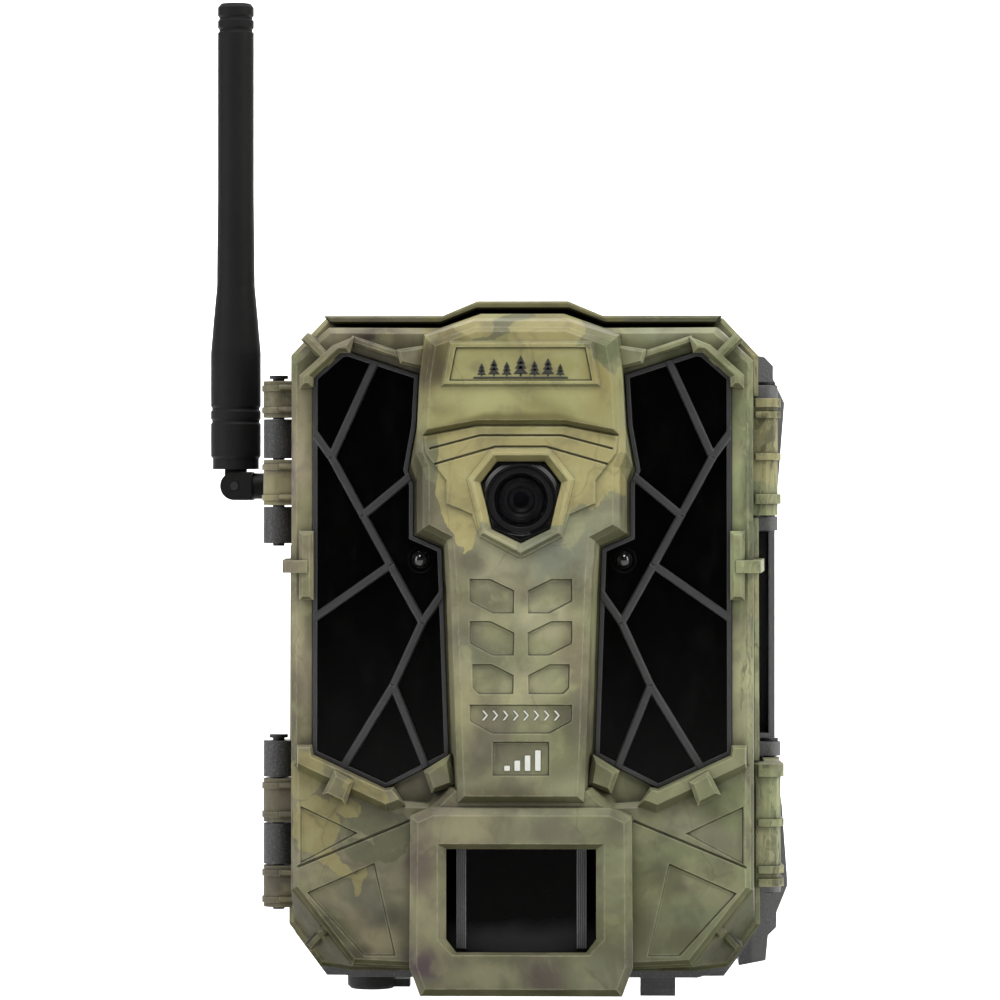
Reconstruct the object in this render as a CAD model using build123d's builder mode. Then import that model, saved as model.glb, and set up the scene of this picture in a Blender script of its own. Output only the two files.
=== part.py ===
from build123d import *
import math
import os

# Cellular trail camera: a hinged front cover carries the camera, the infrared
# lamp, the motion sensor and the electronics; a rear housing carries the
# batteries and the mounting features; two side latches; a folding antenna.
# Millimetres, +Z up, the face looks along -Y, and right is +X. The origin is
# the mouth of the tripod thread under the rear housing.

os.makedirs("parts", exist_ok=True)

# -------------------------------------------------------- shared dimensions
FACE_Y = -60.0          # front of the frame round the motion sensor
LIP_Y = -54.0           # reference depth of the lips round the lamp windows
CHEEK_Y = -53.0         # lower cheeks
PLATE_Y = -50.0         # base plate of the front cover
LEDGE_Y = -49.0         # where the raised pads on the plate are rooted
WINDOW_Y = -49.1        # face of the lamp windows
GRILLE_Y = -51.0        # face of the lattice over the windows
SEAM_FRONT = -22.2      # rear edge of the front cover
SEAM_REAR = -21.8       # front edge of the rear housing
BACK_Y = 22.0           # back wall of the rear housing
EAR_Y = 28.0            # tips of the strap ears
HINGE_X, HINGE_Y = -49.8, -25.0
HINGE_R = 3.1           # hinge barrel radius
PIN_R = 1.2             # hinge and latch pin radius
PIN_BORE_R = PIN_R + 0.06
PIN_HEAD_R = 1.9
KNUCKLE_GAP = 0.15
LATCH_X, LATCH_Y = 49.4, -6.0
LENS_Z = 98.5           # optical axis height
PIR_Z = 21.5            # motion sensor axis height
ANT_Z = 101.4           # antenna connector height
ANT_X = -60.6           # antenna pivot
JACK_X, JACK_Y = -32.6, 7.0
DOME_X, DOME_Z = 20.0, 86.7   # light sensor (left) and status lamp (right)
DOME_HOLE_R = 1.75
WINDOW_FIT = 0.12       # clearance round windows and lens hood
SIDES = (1, -1)         # right, left


# ------------------------------------------------------------ outline tools
def mirrored(half):
    """Right half of an outline, top to bottom, closed by its mirror image."""
    return list(half) + [(-x, z) for x, z in reversed(half)]


def on_side(side, outline):
    """The outline itself on the right (1), its mirror image on the left (-1)."""
    return outline if side == 1 else [(-x, z) for x, z in reversed(outline)]


def inset(outline, distance):
    """Outline moved inwards with mitred corners."""
    count = len(outline)
    edges = list(zip(outline, outline[1:] + outline[:1]))
    area = sum(x0 * z1 - x1 * z0 for (x0, z0), (x1, z1) in edges)
    turn = 1.0 if area > 0 else -1.0
    lines = []
    for (x0, z0), (x1, z1) in edges:
        length = math.hypot(x1 - x0, z1 - z0)
        normal_x = -(z1 - z0) / length * turn
        normal_z = (x1 - x0) / length * turn
        lines.append((x0 + normal_x * distance, z0 + normal_z * distance, x1 - x0, z1 - z0))
    corners = []
    for i in range(count):
        ax, az, a_dx, a_dz = lines[i - 1]
        bx, bz, b_dx, b_dz = lines[i]
        cross = a_dx * b_dz - a_dz * b_dx
        if abs(cross) < 1e-9:
            corners.append((bx, bz))
            continue
        along = ((bx - ax) * b_dz - (bz - az) * b_dx) / cross
        corners.append((ax + a_dx * along, az + a_dz * along))
    return corners


def bar(x0, z0, x1, z1, width):
    """Four corners of a bar along a line."""
    length = math.hypot(x1 - x0, z1 - z0)
    nx = -(z1 - z0) / length * width / 2
    nz = (x1 - x0) / length * width / 2
    return [(x0 + nx, z0 + nz), (x1 + nx, z1 + nz), (x1 - nx, z1 - nz), (x0 - nx, z0 - nz)]


# -------------------------------------------------------------- solid tools
# Each adds to, or cuts from, the part that is being built.
def face_at(y, outline, hole=None):
    """Outline in X and Z on the plane at depth y."""
    with BuildSketch(Plane.XZ.offset(-y)) as face:
        with BuildLine():
            Polyline(*outline, close=True)
        make_face()
        if hole is not None:
            with BuildLine():
                Polyline(*hole, close=True)
            make_face(mode=Mode.SUBTRACT)
    return face.sketch


def slab(outline, y0, y1, mode=Mode.ADD, hole=None):
    direction = (0, 1 if y1 > y0 else -1, 0)
    extrude(face_at(y0, outline, hole), amount=abs(y1 - y0), dir=direction, clean=False, mode=mode)


def prism_z(outline, z0, height, clean=True):
    """Upright prism on an outline in X and Y."""
    with BuildSketch(Plane.XY.offset(z0)) as base:
        with BuildLine():
            Polyline(*outline, close=True)
        make_face()
    extrude(base.sketch, amount=height, dir=(0, 0, 1), clean=clean)


def taper(outline0, y0, outline1, y1, mode=Mode.ADD):
    """Body between two outlines of equally many corners, with plane facets."""
    start = [Vector(x, y0, z) for x, z in outline0]
    end = [Vector(x, y1, z) for x, z in outline1]
    count = len(start)
    rings = [start, end]
    for i in range(count):
        j = (i + 1) % count
        p, q, r, t = start[i], start[j], end[j], end[i]
        normal = (q - p).cross(t - p)
        if abs(normal.dot(r - p)) < 1e-6 * normal.length:
            rings.append([p, q, r, t])
        else:
            rings += [[p, q, r], [p, r, t]]
    facets = [Face(Wire.make_polygon(ring, close=True)) for ring in rings]
    add(Solid(Shell(facets)), mode=mode)


def pad(outline, y0, y1, bevel):
    """Raised pad whose front edge is chamfered."""
    slab(outline, y0, y1 + bevel)
    taper(outline, y1 + bevel, inset(outline, bevel), y1)


def recess(outline, mouth_y, floor_y, slope):
    """Shallow pocket whose floor is smaller than its mouth by the slope."""
    taper(outline, mouth_y, inset(outline, slope), floor_y, mode=Mode.SUBTRACT)


def block(x0, x1, y0, y1, z0, z1, mode=Mode.ADD):
    with Locations(((x0 + x1) / 2, (y0 + y1) / 2, (z0 + z1) / 2)):
        Box(abs(x1 - x0), abs(y1 - y0), abs(z1 - z0), mode=mode)


def rod_x(y, z, radius, x0, x1, mode=Mode.ADD):
    with Locations(Location(((x0 + x1) / 2, y, z), (0, 90, 0))):
        Cylinder(radius, abs(x1 - x0), mode=mode)


def rod_y(x, z, radius, y0, y1, mode=Mode.ADD):
    with Locations(Location((x, (y0 + y1) / 2, z), (90, 0, 0))):
        Cylinder(radius, abs(y1 - y0), mode=mode)


def rod_z(x, y, radius, z0, z1, mode=Mode.ADD):
    with Locations((x, y, (z0 + z1) / 2)):
        Cylinder(radius, abs(z1 - z0), mode=mode)


def export_piece(builder, name):
    builder.part.label = name
    export_step(builder.part, "parts/" + name + ".step")


# ------------------------------------------------------------ shared layout
# Hinge knuckles: lowest and highest level of each barrel.
COVER_KNUCKLES = [(115.0, 122.7), (97.3, 106.8), (33.3, 42.4), (16.1, 24.8)]
HOUSING_KNUCKLES = [(106.8, 115.0), (89.6, 97.3), (42.4, 50.0), (24.8, 33.3)]
# Latches: name, lowest level, highest level, x of the pin.
LATCHES = [
    ("latch_upper", 95.4, 118.9, LATCH_X),
    ("latch_lower", 21.0, 45.6, LATCH_X + 0.6),
]
# Inner panel screws: x, z, rear end of the boss, seat of the head.
PANEL_SCREWS = [
    (side * x, z, boss_y, seat_y)
    for x, z, boss_y, seat_y in (
        (40.4, 118.0, -27.7, -26.4), (40.4, 66.0, -27.7, -26.4), (39.4, 27.0, -33.6, -32.5))
    for side in SIDES
]

# Outlines, x and z of each corner. Right half only inside mirrored().
LAMP = [
    (41.2, 122.7), (35.6, 127.6), (34.2, 127.75), (20.2, 123.2), (20.8, 113.1),
    (22.35, 104.4), (21.25, 101.6), (21.25, 91.45), (15.7, 89.0), (15.3, 78.0),
    (14.3, 48.1), (26.8, 41.7), (41.3, 48.4),
]
HEPTAGON = mirrored([(4.6, 105.9), (7.75, 101.8), (5.6, 92.9), (0.0, 90.2)])
del HEPTAGON[4]         # the lowest corner lies on the axis and is kept once

# ------------------------------------------------------ front cover outlines
RIM = mirrored([
    (8.9, 138.1), (15.8, 135.15), (40.0, 135.2), (47.1, 127.7),
    (47.5, 13.0), (41.2, 4.5), (35.0, 3.6), (22.0, 3.6)])
SIDE_REAR = mirrored([
    (8.4, 136.0), (15.9, 133.1), (39.2, 133.2), (46.1, 126.6),
    (46.4, 13.8), (40.5, 5.5), (34.6, 4.6), (22.0, 4.6)])
SIDE_FRONT = mirrored([
    (8.1, 135.2), (16.2, 132.4), (38.1, 132.5), (45.5, 125.9),
    (45.6, 21.6), (33.6, 6.6), (22.9, 6.1), (21.0, 6.1)])
CAVITY_REAR = mirrored([
    (8.0, 133.8), (15.2, 130.9), (38.2, 131.0), (43.6, 125.7),
    (44.0, 15.0), (39.0, 8.0), (34.0, 7.2), (22.0, 7.2)])
CAVITY_FRONT = mirrored([
    (7.5, 131.5), (15.5, 129.5), (37.0, 129.6), (42.6, 123.9),
    (42.8, 24.0), (32.0, 9.6), (22.0, 9.2), (20.0, 9.2)])
VISOR = [
    (-39.6, 135.1), (-15.9, 135.1), (-9.0, 138.0), (9.0, 138.0), (15.9, 135.1), (39.6, 135.1),
    (38.3, 133.55), (16.3, 133.55), (9.2, 136.4), (-9.2, 136.4), (-16.3, 133.55), (-38.3, 133.55)]
SPINE_BASE = mirrored([
    (9.2, 134.4), (19.4, 131.2), (20.0, 123.3), (20.6, 113.2), (22.1, 104.6),
    (21.0, 101.6), (21.0, 91.7), (15.5, 89.2), (15.1, 80.4), (13.8, 39.5)])
SPINE_TOP = mirrored([
    (9.1, 133.4), (18.7, 130.4), (19.8, 122.5), (20.3, 112.8), (20.5, 107.6),
    (19.2, 104.8), (19.2, 93.0), (14.4, 90.5), (13.8, 82.9), (12.3, 39.5)])
SPINE_CAVITY = mirrored([
    (8.0, 129.0), (16.6, 126.8), (17.4, 121.5), (17.9, 112.0), (17.4, 105.0),
    (16.9, 94.6), (12.2, 92.0), (11.5, 82.5), (10.1, 42.5)])
CHEEKS = mirrored([
    (20.0, 39.0), (27.1, 39.6), (43.4, 46.3), (44.9, 46.3), (44.9, 22.2), (33.3, 7.4), (21.0, 6.8)])
SENSOR_FRAME = mirrored([(17.4, 38.5), (21.6, 36.7), (21.8, 7.3), (19.7, 1.7)])
PIR_OPENING = mirrored([(14.65, 30.4), (14.65, 12.7), (12.7, 10.1)])
PIR_MOUTH = mirrored([(16.35, 31.6), (16.35, 12.9), (13.4, 9.8)])
COLLAR = [
    (5.35, 107.3), (9.3, 102.3), (6.95, 92.4), (0.0, 88.7),
    (-6.95, 92.4), (-9.3, 102.3), (-5.35, 107.3)]
FOREHEAD = mirrored([
    (9.0, 132.2), (17.4, 129.2), (18.5, 122.3), (19.0, 112.8), (19.2, 111.2), (8.4, 113.2)])
SHIELD = mirrored([
    (8.6, 113.0), (19.0, 111.0), (18.6, 107.4), (14.6, 102.1),
    (14.6, 97.7), (9.5, 95.5), (8.1, 91.2), (0.6, 87.2)])
# Lips that clasp the right lamp window.
CORNER_LIP = [
    (43.6, 120.4), (41.0, 120.7), (40.9, 122.5), (35.6, 127.4),
    (33.7, 127.4), (32.8, 130.6), (37.0, 128.9), (43.6, 123.0)]
SIDE_LIP = [(43.7, 78.9), (40.9, 78.9), (40.9, 92.4), (43.7, 92.4)]
BOTTOM_LIP = [
    (44.1, 50.3), (44.1, 45.6), (42.3, 44.6), (26.5, 37.2), (22.9, 38.6),
    (25.2, 42.1), (26.8, 41.8), (41.0, 48.4), (41.2, 50.3)]
BOTTOM_LIP_FACE = [
    (43.8, 50.0), (43.8, 47.0), (42.6, 46.35), (26.6, 38.95), (24.0, 39.9),
    (25.5, 41.75), (26.75, 41.5), (41.25, 48.15), (41.5, 50.0)]
UPPER_TIE = [(24.5, 128.0), (18.6, 128.9), (19.0, 124.1), (23.8, 125.3)]
LOWER_TIE = [(19.2, 45.4), (14.0, 48.6), (13.0, 42.6), (17.6, 41.0)]
LUG = [(36.6, 45.6), (39.0, 40.9), (34.5, 38.7), (32.8, 43.4)]
# Rib round the right flank: x and y.
FLANK_RIB = [
    (42.0, -54.8), (46.4, -54.8), (46.9, -54.2), (48.5, -23.0),
    (45.6, -23.0), (44.4, -49.5), (42.0, -49.5)]
# Shallow recesses: the lower spine pocket, the spine label, the cheeks.
LOW_POCKET = [(9.6, 66.6), (5.6, 66.6), (1.3, 64.4), (1.4, 60.6), (8.3, 60.6), (9.5, 61.8)]
LABEL = mirrored([(10.1, 58.7), (10.0, 55.3), (5.6, 52.9)])
SQUARE = [(-5.6, 51.5), (5.6, 51.5), (5.6, 44.7), (-5.6, 44.7)]
CHEEK_TRIANGLE = [(43.6, 38.6), (31.9, 33.1), (43.6, 26.9)]
CHEEK_QUAD = [(42.4, 21.4), (28.8, 27.4), (24.6, 8.9), (31.0, 8.9)]
BROW_LINES = [
    [(0.0, 111.1), (8.0, 111.1), (17.9, 108.5)],
    [(0.0, 108.9), (5.0, 108.9), (16.9, 105.5)],
]
SPINE_RECESS = dict(mouth_y=-59.6, floor_y=-58.95, slope=0.35)
CHEEK_RECESS = dict(mouth_y=-53.1, floor_y=-52.55, slope=0.4)


# --------------------------------------------------------------- front cover
def cover_shell():
    # Side walls with draft, a bevelled front edge and a proud rim at the seam.
    taper(SIDE_REAR, -27.8, SIDE_FRONT, -48.6)
    taper(SIDE_FRONT, -48.6, inset(SIDE_FRONT, 1.1), PLATE_Y)
    slab(RIM, SEAM_FRONT, -27.6)
    taper(RIM, -27.6, inset(RIM, 0.9), -28.5)
    # Rain visor along the top edge, with a shadow gap under it.
    pad(VISOR, -24.0, -42.5, 0.35)


def cover_spine():
    # Raised lower cheeks and the spine that runs up the middle.
    pad(CHEEKS, LEDGE_Y, CHEEK_Y, 1.0)
    taper(SPINE_BASE, LEDGE_Y, SPINE_TOP, -58.2)
    taper(SPINE_TOP, -58.2, inset(SPINE_TOP, 1.3), -59.5)
    # Flared foot of the spine, which spreads onto the sensor frame.
    foot_base = mirrored([(15.6, 43.1), (20.4, 37.3)])
    foot_top = mirrored([(12.8, 41.7), (16.9, 37.7)])
    taper(foot_base, -49.5, foot_top, -57.8)
    # Frame round the motion sensor, running back under the cover.
    pad(SENSOR_FRAME, -48.0, FACE_Y, 1.5)
    keel_rear = mirrored([(22.4, 13.0), (22.4, 6.5), (20.6, 3.9)])
    keel_front = mirrored([(21.8, 13.0), (21.8, 7.3), (19.7, 1.7)])
    taper(keel_rear, -28.0, keel_front, -50.0)


def cover_lips_and_ribs(side):
    # Corner, side and bottom lips that clasp the lamp window.
    pad(on_side(side, CORNER_LIP), LEDGE_Y, LIP_Y - 0.5, 0.9)
    pad(on_side(side, SIDE_LIP), LEDGE_Y, LIP_Y - 0.3, 0.7)
    lip = on_side(side, BOTTOM_LIP)
    slab(lip, LEDGE_Y, LIP_Y + 0.5)
    taper(lip, LIP_Y + 0.5, on_side(side, BOTTOM_LIP_FACE), LIP_Y - 1.1)
    # Thin bar over the window and the two blocks that tie it to the spine.
    pad(on_side(side, bar(33.6, 130.1, 23.0, 126.6, 1.5)), LEDGE_Y, -52.6, 0.4)
    pad(on_side(side, UPPER_TIE), LEDGE_Y, -54.6, 0.6)
    pad(on_side(side, LOWER_TIE), LEDGE_Y, -55.2, 0.9)
    # Lug on the bottom lip, ribs across the chamfers and round the flank.
    pad(on_side(side, LUG), LEDGE_Y, -56.3, 0.8)
    pad(on_side(side, bar(42.7, 130.7, 37.4, 125.4, 2.0)), -24.0, -53.6, 0.5)
    prism_z([(side * x, y) for x, y in FLANK_RIB], 84.2, 2.5, clean=False)
    pad(on_side(side, bar(36.2, 16.4, 42.9, 9.3, 2.0)), -24.0, -41.0, 0.5)
    pad(on_side(side, bar(36.2, 16.4, 39.6, 12.8, 2.0)), -40.0, -50.0, 0.5)


def cover_brow():
    # Forehead proud of the shield, ending in a sloping brow over the lens.
    pad(FOREHEAD, -58.6, -60.6, 0.9)
    # Shield round the lens, and a collar round the opening.
    pad(SHIELD, -58.9, -60.0, 0.3)
    pad(inset(COLLAR, -1.1), -58.9, -60.9, 0.7)
    # Name plate frame.
    pad([(-13.9, 129.4), (13.9, 129.4), (15.6, 120.6), (-15.6, 120.6)], -59.0, -61.3, 0.5)


def cover_hollow():
    # Main cavity and spine cavity.
    taper(CAVITY_REAR, -22.0, CAVITY_FRONT, -46.4, mode=Mode.SUBTRACT)
    slab(SPINE_CAVITY, -46.3, -57.2, mode=Mode.SUBTRACT)
    # Motion sensor: chamber, flared mouth and opening between them.
    chamber = mirrored([(16.6, 33.6), (16.6, 11.5), (14.4, 9.4)])
    slab(chamber, -46.3, -56.6, mode=Mode.SUBTRACT)
    taper(PIR_OPENING, -58.4, PIR_MOUTH, -60.1, mode=Mode.SUBTRACT)
    slab(PIR_OPENING, -56.5, -58.5, mode=Mode.SUBTRACT)
    # Lens opening, flared towards the collar.
    lens_opening = inset(HEPTAGON, -WINDOW_FIT)
    slab(lens_opening, -57.0, -62.0, mode=Mode.SUBTRACT)
    taper(lens_opening, -59.4, inset(COLLAR, -0.1), -61.1, mode=Mode.SUBTRACT)
    for side in SIDES:
        slab(on_side(side, LAMP), -47.7, -51.4, mode=Mode.SUBTRACT)
        slab(on_side(side, inset(LAMP, 1.5)), -46.0, -48.0, mode=Mode.SUBTRACT)
        # Light wall behind each window, which the lamp board rests on.
        outer = on_side(side, inset(LAMP, 0.35))
        slab(outer, -46.5, -42.6, hole=on_side(side, inset(LAMP, 1.5)))


def cover_recesses():
    for side in SIDES:
        # Three pockets on this side of the spine.
        for top in (83.2, 75.0):
            pocket = [
                (10.1, top), (5.9, top), (1.2, top - 2.3),
                (1.3, top - 6.9), (5.5, top - 6.9), (10.1, top - 4.5)]
            recess(on_side(side, pocket), **SPINE_RECESS)
        recess(on_side(side, LOW_POCKET), **SPINE_RECESS)
        # Triangular and four-sided pockets and the crease on the cheek.
        recess(on_side(side, CHEEK_TRIANGLE), **CHEEK_RECESS)
        recess(on_side(side, CHEEK_QUAD), **CHEEK_RECESS)
        crease = on_side(side, bar(45.2, 26.0, 21.9, 35.6, 0.5))
        slab(crease, -53.1, -52.65, mode=Mode.SUBTRACT)
    recess(LABEL, **SPINE_RECESS)
    recess(SQUARE, **SPINE_RECESS)
    # Seat of the name plate.
    seat = [(-12.6, 128.2), (12.6, 128.2), (13.9, 121.7), (-13.9, 121.7)]
    slab(seat, -61.6, -60.4, mode=Mode.SUBTRACT)
    # Two engraved brow lines.
    for side in SIDES:
        for line in BROW_LINES:
            for (x0, z0), (x1, z1) in zip(line, line[1:]):
                groove = bar(x0 - 0.05, z0, x1, z1, 0.42)
                slab(on_side(side, groove), -62.0, -59.6, mode=Mode.SUBTRACT)


def cover_hinge():
    # Room for the housing's barrels.
    for z0, z1 in HOUSING_KNUCKLES:
        z_low, z_high = z0 - KNUCKLE_GAP, z1 + KNUCKLE_GAP
        block(-56, -45.3, -29.4, -20, z_low, z_high, mode=Mode.SUBTRACT)
    # Barrels with two ribs each, on arms from the rim.
    for z0, z1 in COVER_KNUCKLES:
        low, high = z0 + KNUCKLE_GAP, z1 - KNUCKLE_GAP
        rod_z(HINGE_X, HINGE_Y, HINGE_R, low, high)
        block(HINGE_X, -46.2, -28.1, -23.4, low, high)
        for z in (low + 1.5, high - 1.5):
            rod_z(HINGE_X, HINGE_Y, HINGE_R + 0.3, z - 0.6, z + 0.6)
            rod_x(-28.6, z, 0.75, HINGE_X + 0.4, -46.0)
    rod_z(HINGE_X, HINGE_Y, PIN_BORE_R, 10, 130, mode=Mode.SUBTRACT)


def cover_latch_room_and_bosses():
    # Room beside the rim for the latch noses.
    for _, z0, z1, _ in LATCHES:
        block(44.9, 56, -32.9, -20, z0 - 0.4, z1 + 0.4, mode=Mode.SUBTRACT)
    # Bosses for the inner panel, grown off the side walls.
    for x, z, boss_y, _ in PANEL_SCREWS:
        wall_x = math.copysign(44.2, x)
        rod_y(x, z, 2.6, -38.5, boss_y)
        block(x, wall_x, -38.5, boss_y, z - 2.2, z + 2.2)
        rod_y(x, z, 1.05, -42.0, boss_y + 1, mode=Mode.SUBTRACT)


with BuildPart() as front_cover:
    cover_shell()
    cover_spine()
    for side in SIDES:
        cover_lips_and_ribs(side)
    cover_brow()
    cover_hollow()
    cover_recesses()
    cover_hinge()
    cover_latch_room_and_bosses()
export_piece(front_cover, "front_cover")

# ------------------------------------------------- windows, lattices, lamp
# Lattice bars: x and z of both ends.
STRUTS = [
    (41.6, 112.6, 37.5, 106.9), (37.5, 106.9, 31.3, 95.5), (31.3, 95.5, 25.9, 85.7),
    (25.9, 85.7, 19.6, 74.4), (28.6, 126.4, 37.5, 106.9), (31.3, 95.5, 21.0, 104.0),
    (25.9, 85.7, 42.0, 74.5), (19.6, 74.4, 15.0, 81.0), (19.6, 74.4, 25.3, 62.0),
    (25.3, 62.0, 36.0, 44.6), (25.3, 62.0, 18.0, 43.8),
]
STRUT_WIDTH = 1.6
GRILLE_ROOT_Y = WINDOW_Y - 0.03
BOARD_HOLES = [(33.0, 50.0), (30.0, 121.0)]
LED_SPOTS = [
    (36, 116), (29, 113), (36, 107), (29, 104), (36, 98), (29, 95), (36, 89), (28, 86),
    (36, 80), (28, 77), (36, 71), (28, 68), (36, 62), (28, 59), (20, 66), (20, 56),
]
LED_ROOT_Y = -42.6      # just in front of the lamp boards


def make_led_window(side, suffix):
    """Filter that sits on the ledge of the window opening."""
    with BuildPart() as led_window:
        slab(on_side(side, inset(LAMP, WINDOW_FIT)), -47.75, WINDOW_Y)
        rod_y(side * DOME_X, DOME_Z, 2.5, -48.5, -50.0)
        rod_y(side * DOME_X, DOME_Z, DOME_HOLE_R, -47, -51, mode=Mode.SUBTRACT)
    export_piece(led_window, "led_window_" + suffix)


def make_led_grille(side, suffix):
    """Lattice: a thin border and bars, proud of the filter."""
    outline = on_side(side, inset(LAMP, WINDOW_FIT))
    # The border is wider along the outer side of the window.
    border_hole = [(x - 0.75, z) if x > 41 else (x, z) for x, z in inset(LAMP, 0.95)]
    with BuildPart() as led_grille:
        for x0, z0, x1, z1 in STRUTS:
            strut = bar(x0, z0, x1, z1, STRUT_WIDTH)
            pad(on_side(side, strut), GRILLE_ROOT_Y, GRILLE_Y, 0.3)
        slab(outline, -48.0, -52.0, mode=Mode.INTERSECT)
        slab(outline, GRILLE_ROOT_Y, GRILLE_Y + 0.25, hole=on_side(side, border_hole))
        rod_y(side * DOME_X, DOME_Z, DOME_HOLE_R, -48, -53, mode=Mode.SUBTRACT)
    export_piece(led_grille, "led_grille_" + suffix)


def make_led_board(side, suffix):
    with BuildPart() as led_board:
        slab(on_side(side, inset(LAMP, 0.7)), -41.0, -42.5)
        for x, z in BOARD_HOLES:
            rod_y(side * x, z, 1.1, -40, -43, mode=Mode.SUBTRACT)
    export_piece(led_board, "ir_led_board_" + suffix)


for side, suffix in ((1, "right"), (-1, "left")):
    make_led_window(side, suffix)
    make_led_grille(side, suffix)
    make_led_board(side, suffix)

# Infrared lamps: domed emitters with a collar, in a grid on both boards.
with BuildPart() as ir_leds:
    for x, z in LED_SPOTS:
        for side in SIDES:
            rod_y(side * x, z, 1.5, LED_ROOT_Y, -45.2)
            with Locations((side * x, -45.2, z)):
                Sphere(1.45)
            rod_y(side * x, z, 1.85, LED_ROOT_Y, -43.4)
export_piece(ir_leds, "ir_leds")

# Light sensor on the left, status lamp on the right, each a small dome.
for side, name in ((-1, "light_sensor"), (1, "status_led")):
    with BuildPart() as dome:
        rod_y(side * DOME_X, DOME_Z, 1.6, LED_ROOT_Y, -50.2)
        with Locations((side * DOME_X, -50.2, DOME_Z)):
            Sphere(1.55)
    export_piece(dome, name)

# ------------------------------------------------------------------- camera
GLASS_R = 3.24
GLASS_SPANS = [(-56.15, -54.6), (-52.6, -51.0), (-48.6, -46.4)]   # front to rear

with BuildPart() as lens_hood:
    slab(HEPTAGON, -57.3, -59.3)
    taper(HEPTAGON, -59.3, inset(HEPTAGON, 0.3), -59.6)
    rod_y(0, LENS_Z, 6.9, -59.0, -60.0, mode=Mode.SUBTRACT)
    rod_y(0, LENS_Z, 6.5, -59.1, -57.9, mode=Mode.SUBTRACT)
    # Skirt that slips into the spine and guides the barrel.
    rod_y(0, LENS_Z, 7.0, -56.9, -53.0)
    rod_y(0, LENS_Z, 5.6, -57.4, -56.8)
    rod_y(0, LENS_Z, 4.9, -58.0, -52.0, mode=Mode.SUBTRACT)
export_piece(lens_hood, "lens_hood")

with BuildPart() as lens_window:
    rod_y(0, LENS_Z, 6.4, -57.95, -58.75)
export_piece(lens_window, "lens_window")

# Barrel with four raised rings, a bore and a cone that opens to the front.
with BuildPart() as lens_barrel:
    rod_y(0, LENS_Z, 4.5, -44.0, -57.2)
    for k in range(4):
        rod_y(0, LENS_Z, 4.65, -46.0 - k * 1.2, -46.6 - k * 1.2)
    rod_y(0, LENS_Z, 3.3, -43.9, -56.2, mode=Mode.SUBTRACT)
    with BuildSketch(Plane.XZ.offset(56.1)) as cone_rear:
        with Locations((0, LENS_Z)):
            Circle(1.3)
    with BuildSketch(Plane.XZ.offset(57.3)) as cone_front:
        with Locations((0, LENS_Z)):
            Circle(3.6)
    loft([cone_rear.sketch, cone_front.sketch], mode=Mode.SUBTRACT)
export_piece(lens_barrel, "lens_barrel")

with BuildPart() as lens_elements:
    for y_front, y_rear in GLASS_SPANS:
        rod_y(0, LENS_Z, GLASS_R, y_front, y_rear)
export_piece(lens_elements, "lens_elements")

# Holder: seat for the barrel, light well, slot of the infrared-cut filter.
with BuildPart() as lens_holder:
    block(-9, 9, -46.4, -40.5, LENS_Z - 8, LENS_Z + 8)
    rod_y(0, LENS_Z, 4.75, -43.8, -47, mode=Mode.SUBTRACT)
    rod_y(0, LENS_Z, 3.6, -40, -44, mode=Mode.SUBTRACT)
    block(-4.6, 8.2, -43.0, -41.4, LENS_Z - 4.2, LENS_Z + 4.2, mode=Mode.SUBTRACT)
export_piece(lens_holder, "lens_holder")

with BuildPart() as ir_cut_filter:
    block(-4.3, 3.9, -42.6, -41.8, LENS_Z - 4.0, LENS_Z + 4.0)
export_piece(ir_cut_filter, "ir_cut_filter")

with BuildPart() as image_sensor_board:
    block(-12, 12, -38.9, -40.4, LENS_Z - 12, LENS_Z + 12)
    # The chip stays inside the light well of the holder.
    block(-2.4, 2.4, -40.3, -41.2, LENS_Z - 2.4, LENS_Z + 2.4)
    # Low block on the rear of the board.
    block(-5, 5, -37.6, -38.95, LENS_Z - 9, LENS_Z - 5)
export_piece(image_sensor_board, "image_sensor_board")

# ------------------------------------------------------------ motion sensor
# Convex lens behind the lower window: a curved strip with flat edges.
with BuildPart() as pir_lens:
    with BuildSketch(Plane.XY.offset(9.0)):
        with BuildLine():
            Polyline((15.8, -51.2), (15.8, -52.0), (14.3, -53.2))
            ThreePointArc((14.3, -53.2), (0.0, -56.4), (-14.3, -53.2))
            Polyline((-14.3, -53.2), (-15.8, -52.0), (-15.8, -51.2), (-14.0, -51.2))
            ThreePointArc((-14.0, -51.2), (0.0, -55.1), (14.0, -51.2))
            Line((14.0, -51.2), (15.8, -51.2))
        make_face()
    extrude(amount=24.2)
    lens_outline = mirrored([(15.8, 33.2), (15.8, 11.8), (14.0, 9.9)])
    slab(lens_outline, -50.0, -60.0, mode=Mode.INTERSECT)
export_piece(pir_lens, "pir_lens")

# Shroud that narrows from the lens to the sensor can: outer and inner funnel.
SHROUD_FRONT = mirrored([(15.9, 33.3), (15.9, 11.8), (14.1, 9.9)])
SHROUD_REAR = mirrored([(9.5, 28.0), (9.5, 16.0), (8.5, 15.0)])
FUNNEL_FRONT = mirrored([(14.7, 32.1), (14.7, 12.6), (13.3, 11.1)])
FUNNEL_REAR = mirrored([(8.2, 26.6), (8.2, 17.2), (7.4, 16.4)])
with BuildPart() as pir_shroud:
    taper(SHROUD_FRONT, -51.0, SHROUD_REAR, -40.2)
    taper(FUNNEL_FRONT, -51.1, FUNNEL_REAR, -40.1, mode=Mode.SUBTRACT)
    block(-9.5, 9.5, -40.2, -39.0, 13.0, 29.0)
    rod_y(0, PIR_Z, 4.9, -38, -42, mode=Mode.SUBTRACT)
export_piece(pir_shroud, "pir_shroud")

with BuildPart() as pir_sensor:
    rod_y(0, PIR_Z, 4.6, -38.05, -38.6)
    rod_y(0, PIR_Z, 4.1, -38.3, -42.2)
    block(-2.0, 2.0, -42.3, -42.1, PIR_Z - 1.3, PIR_Z + 1.3)
export_piece(pir_sensor, "pir_sensor")

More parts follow.
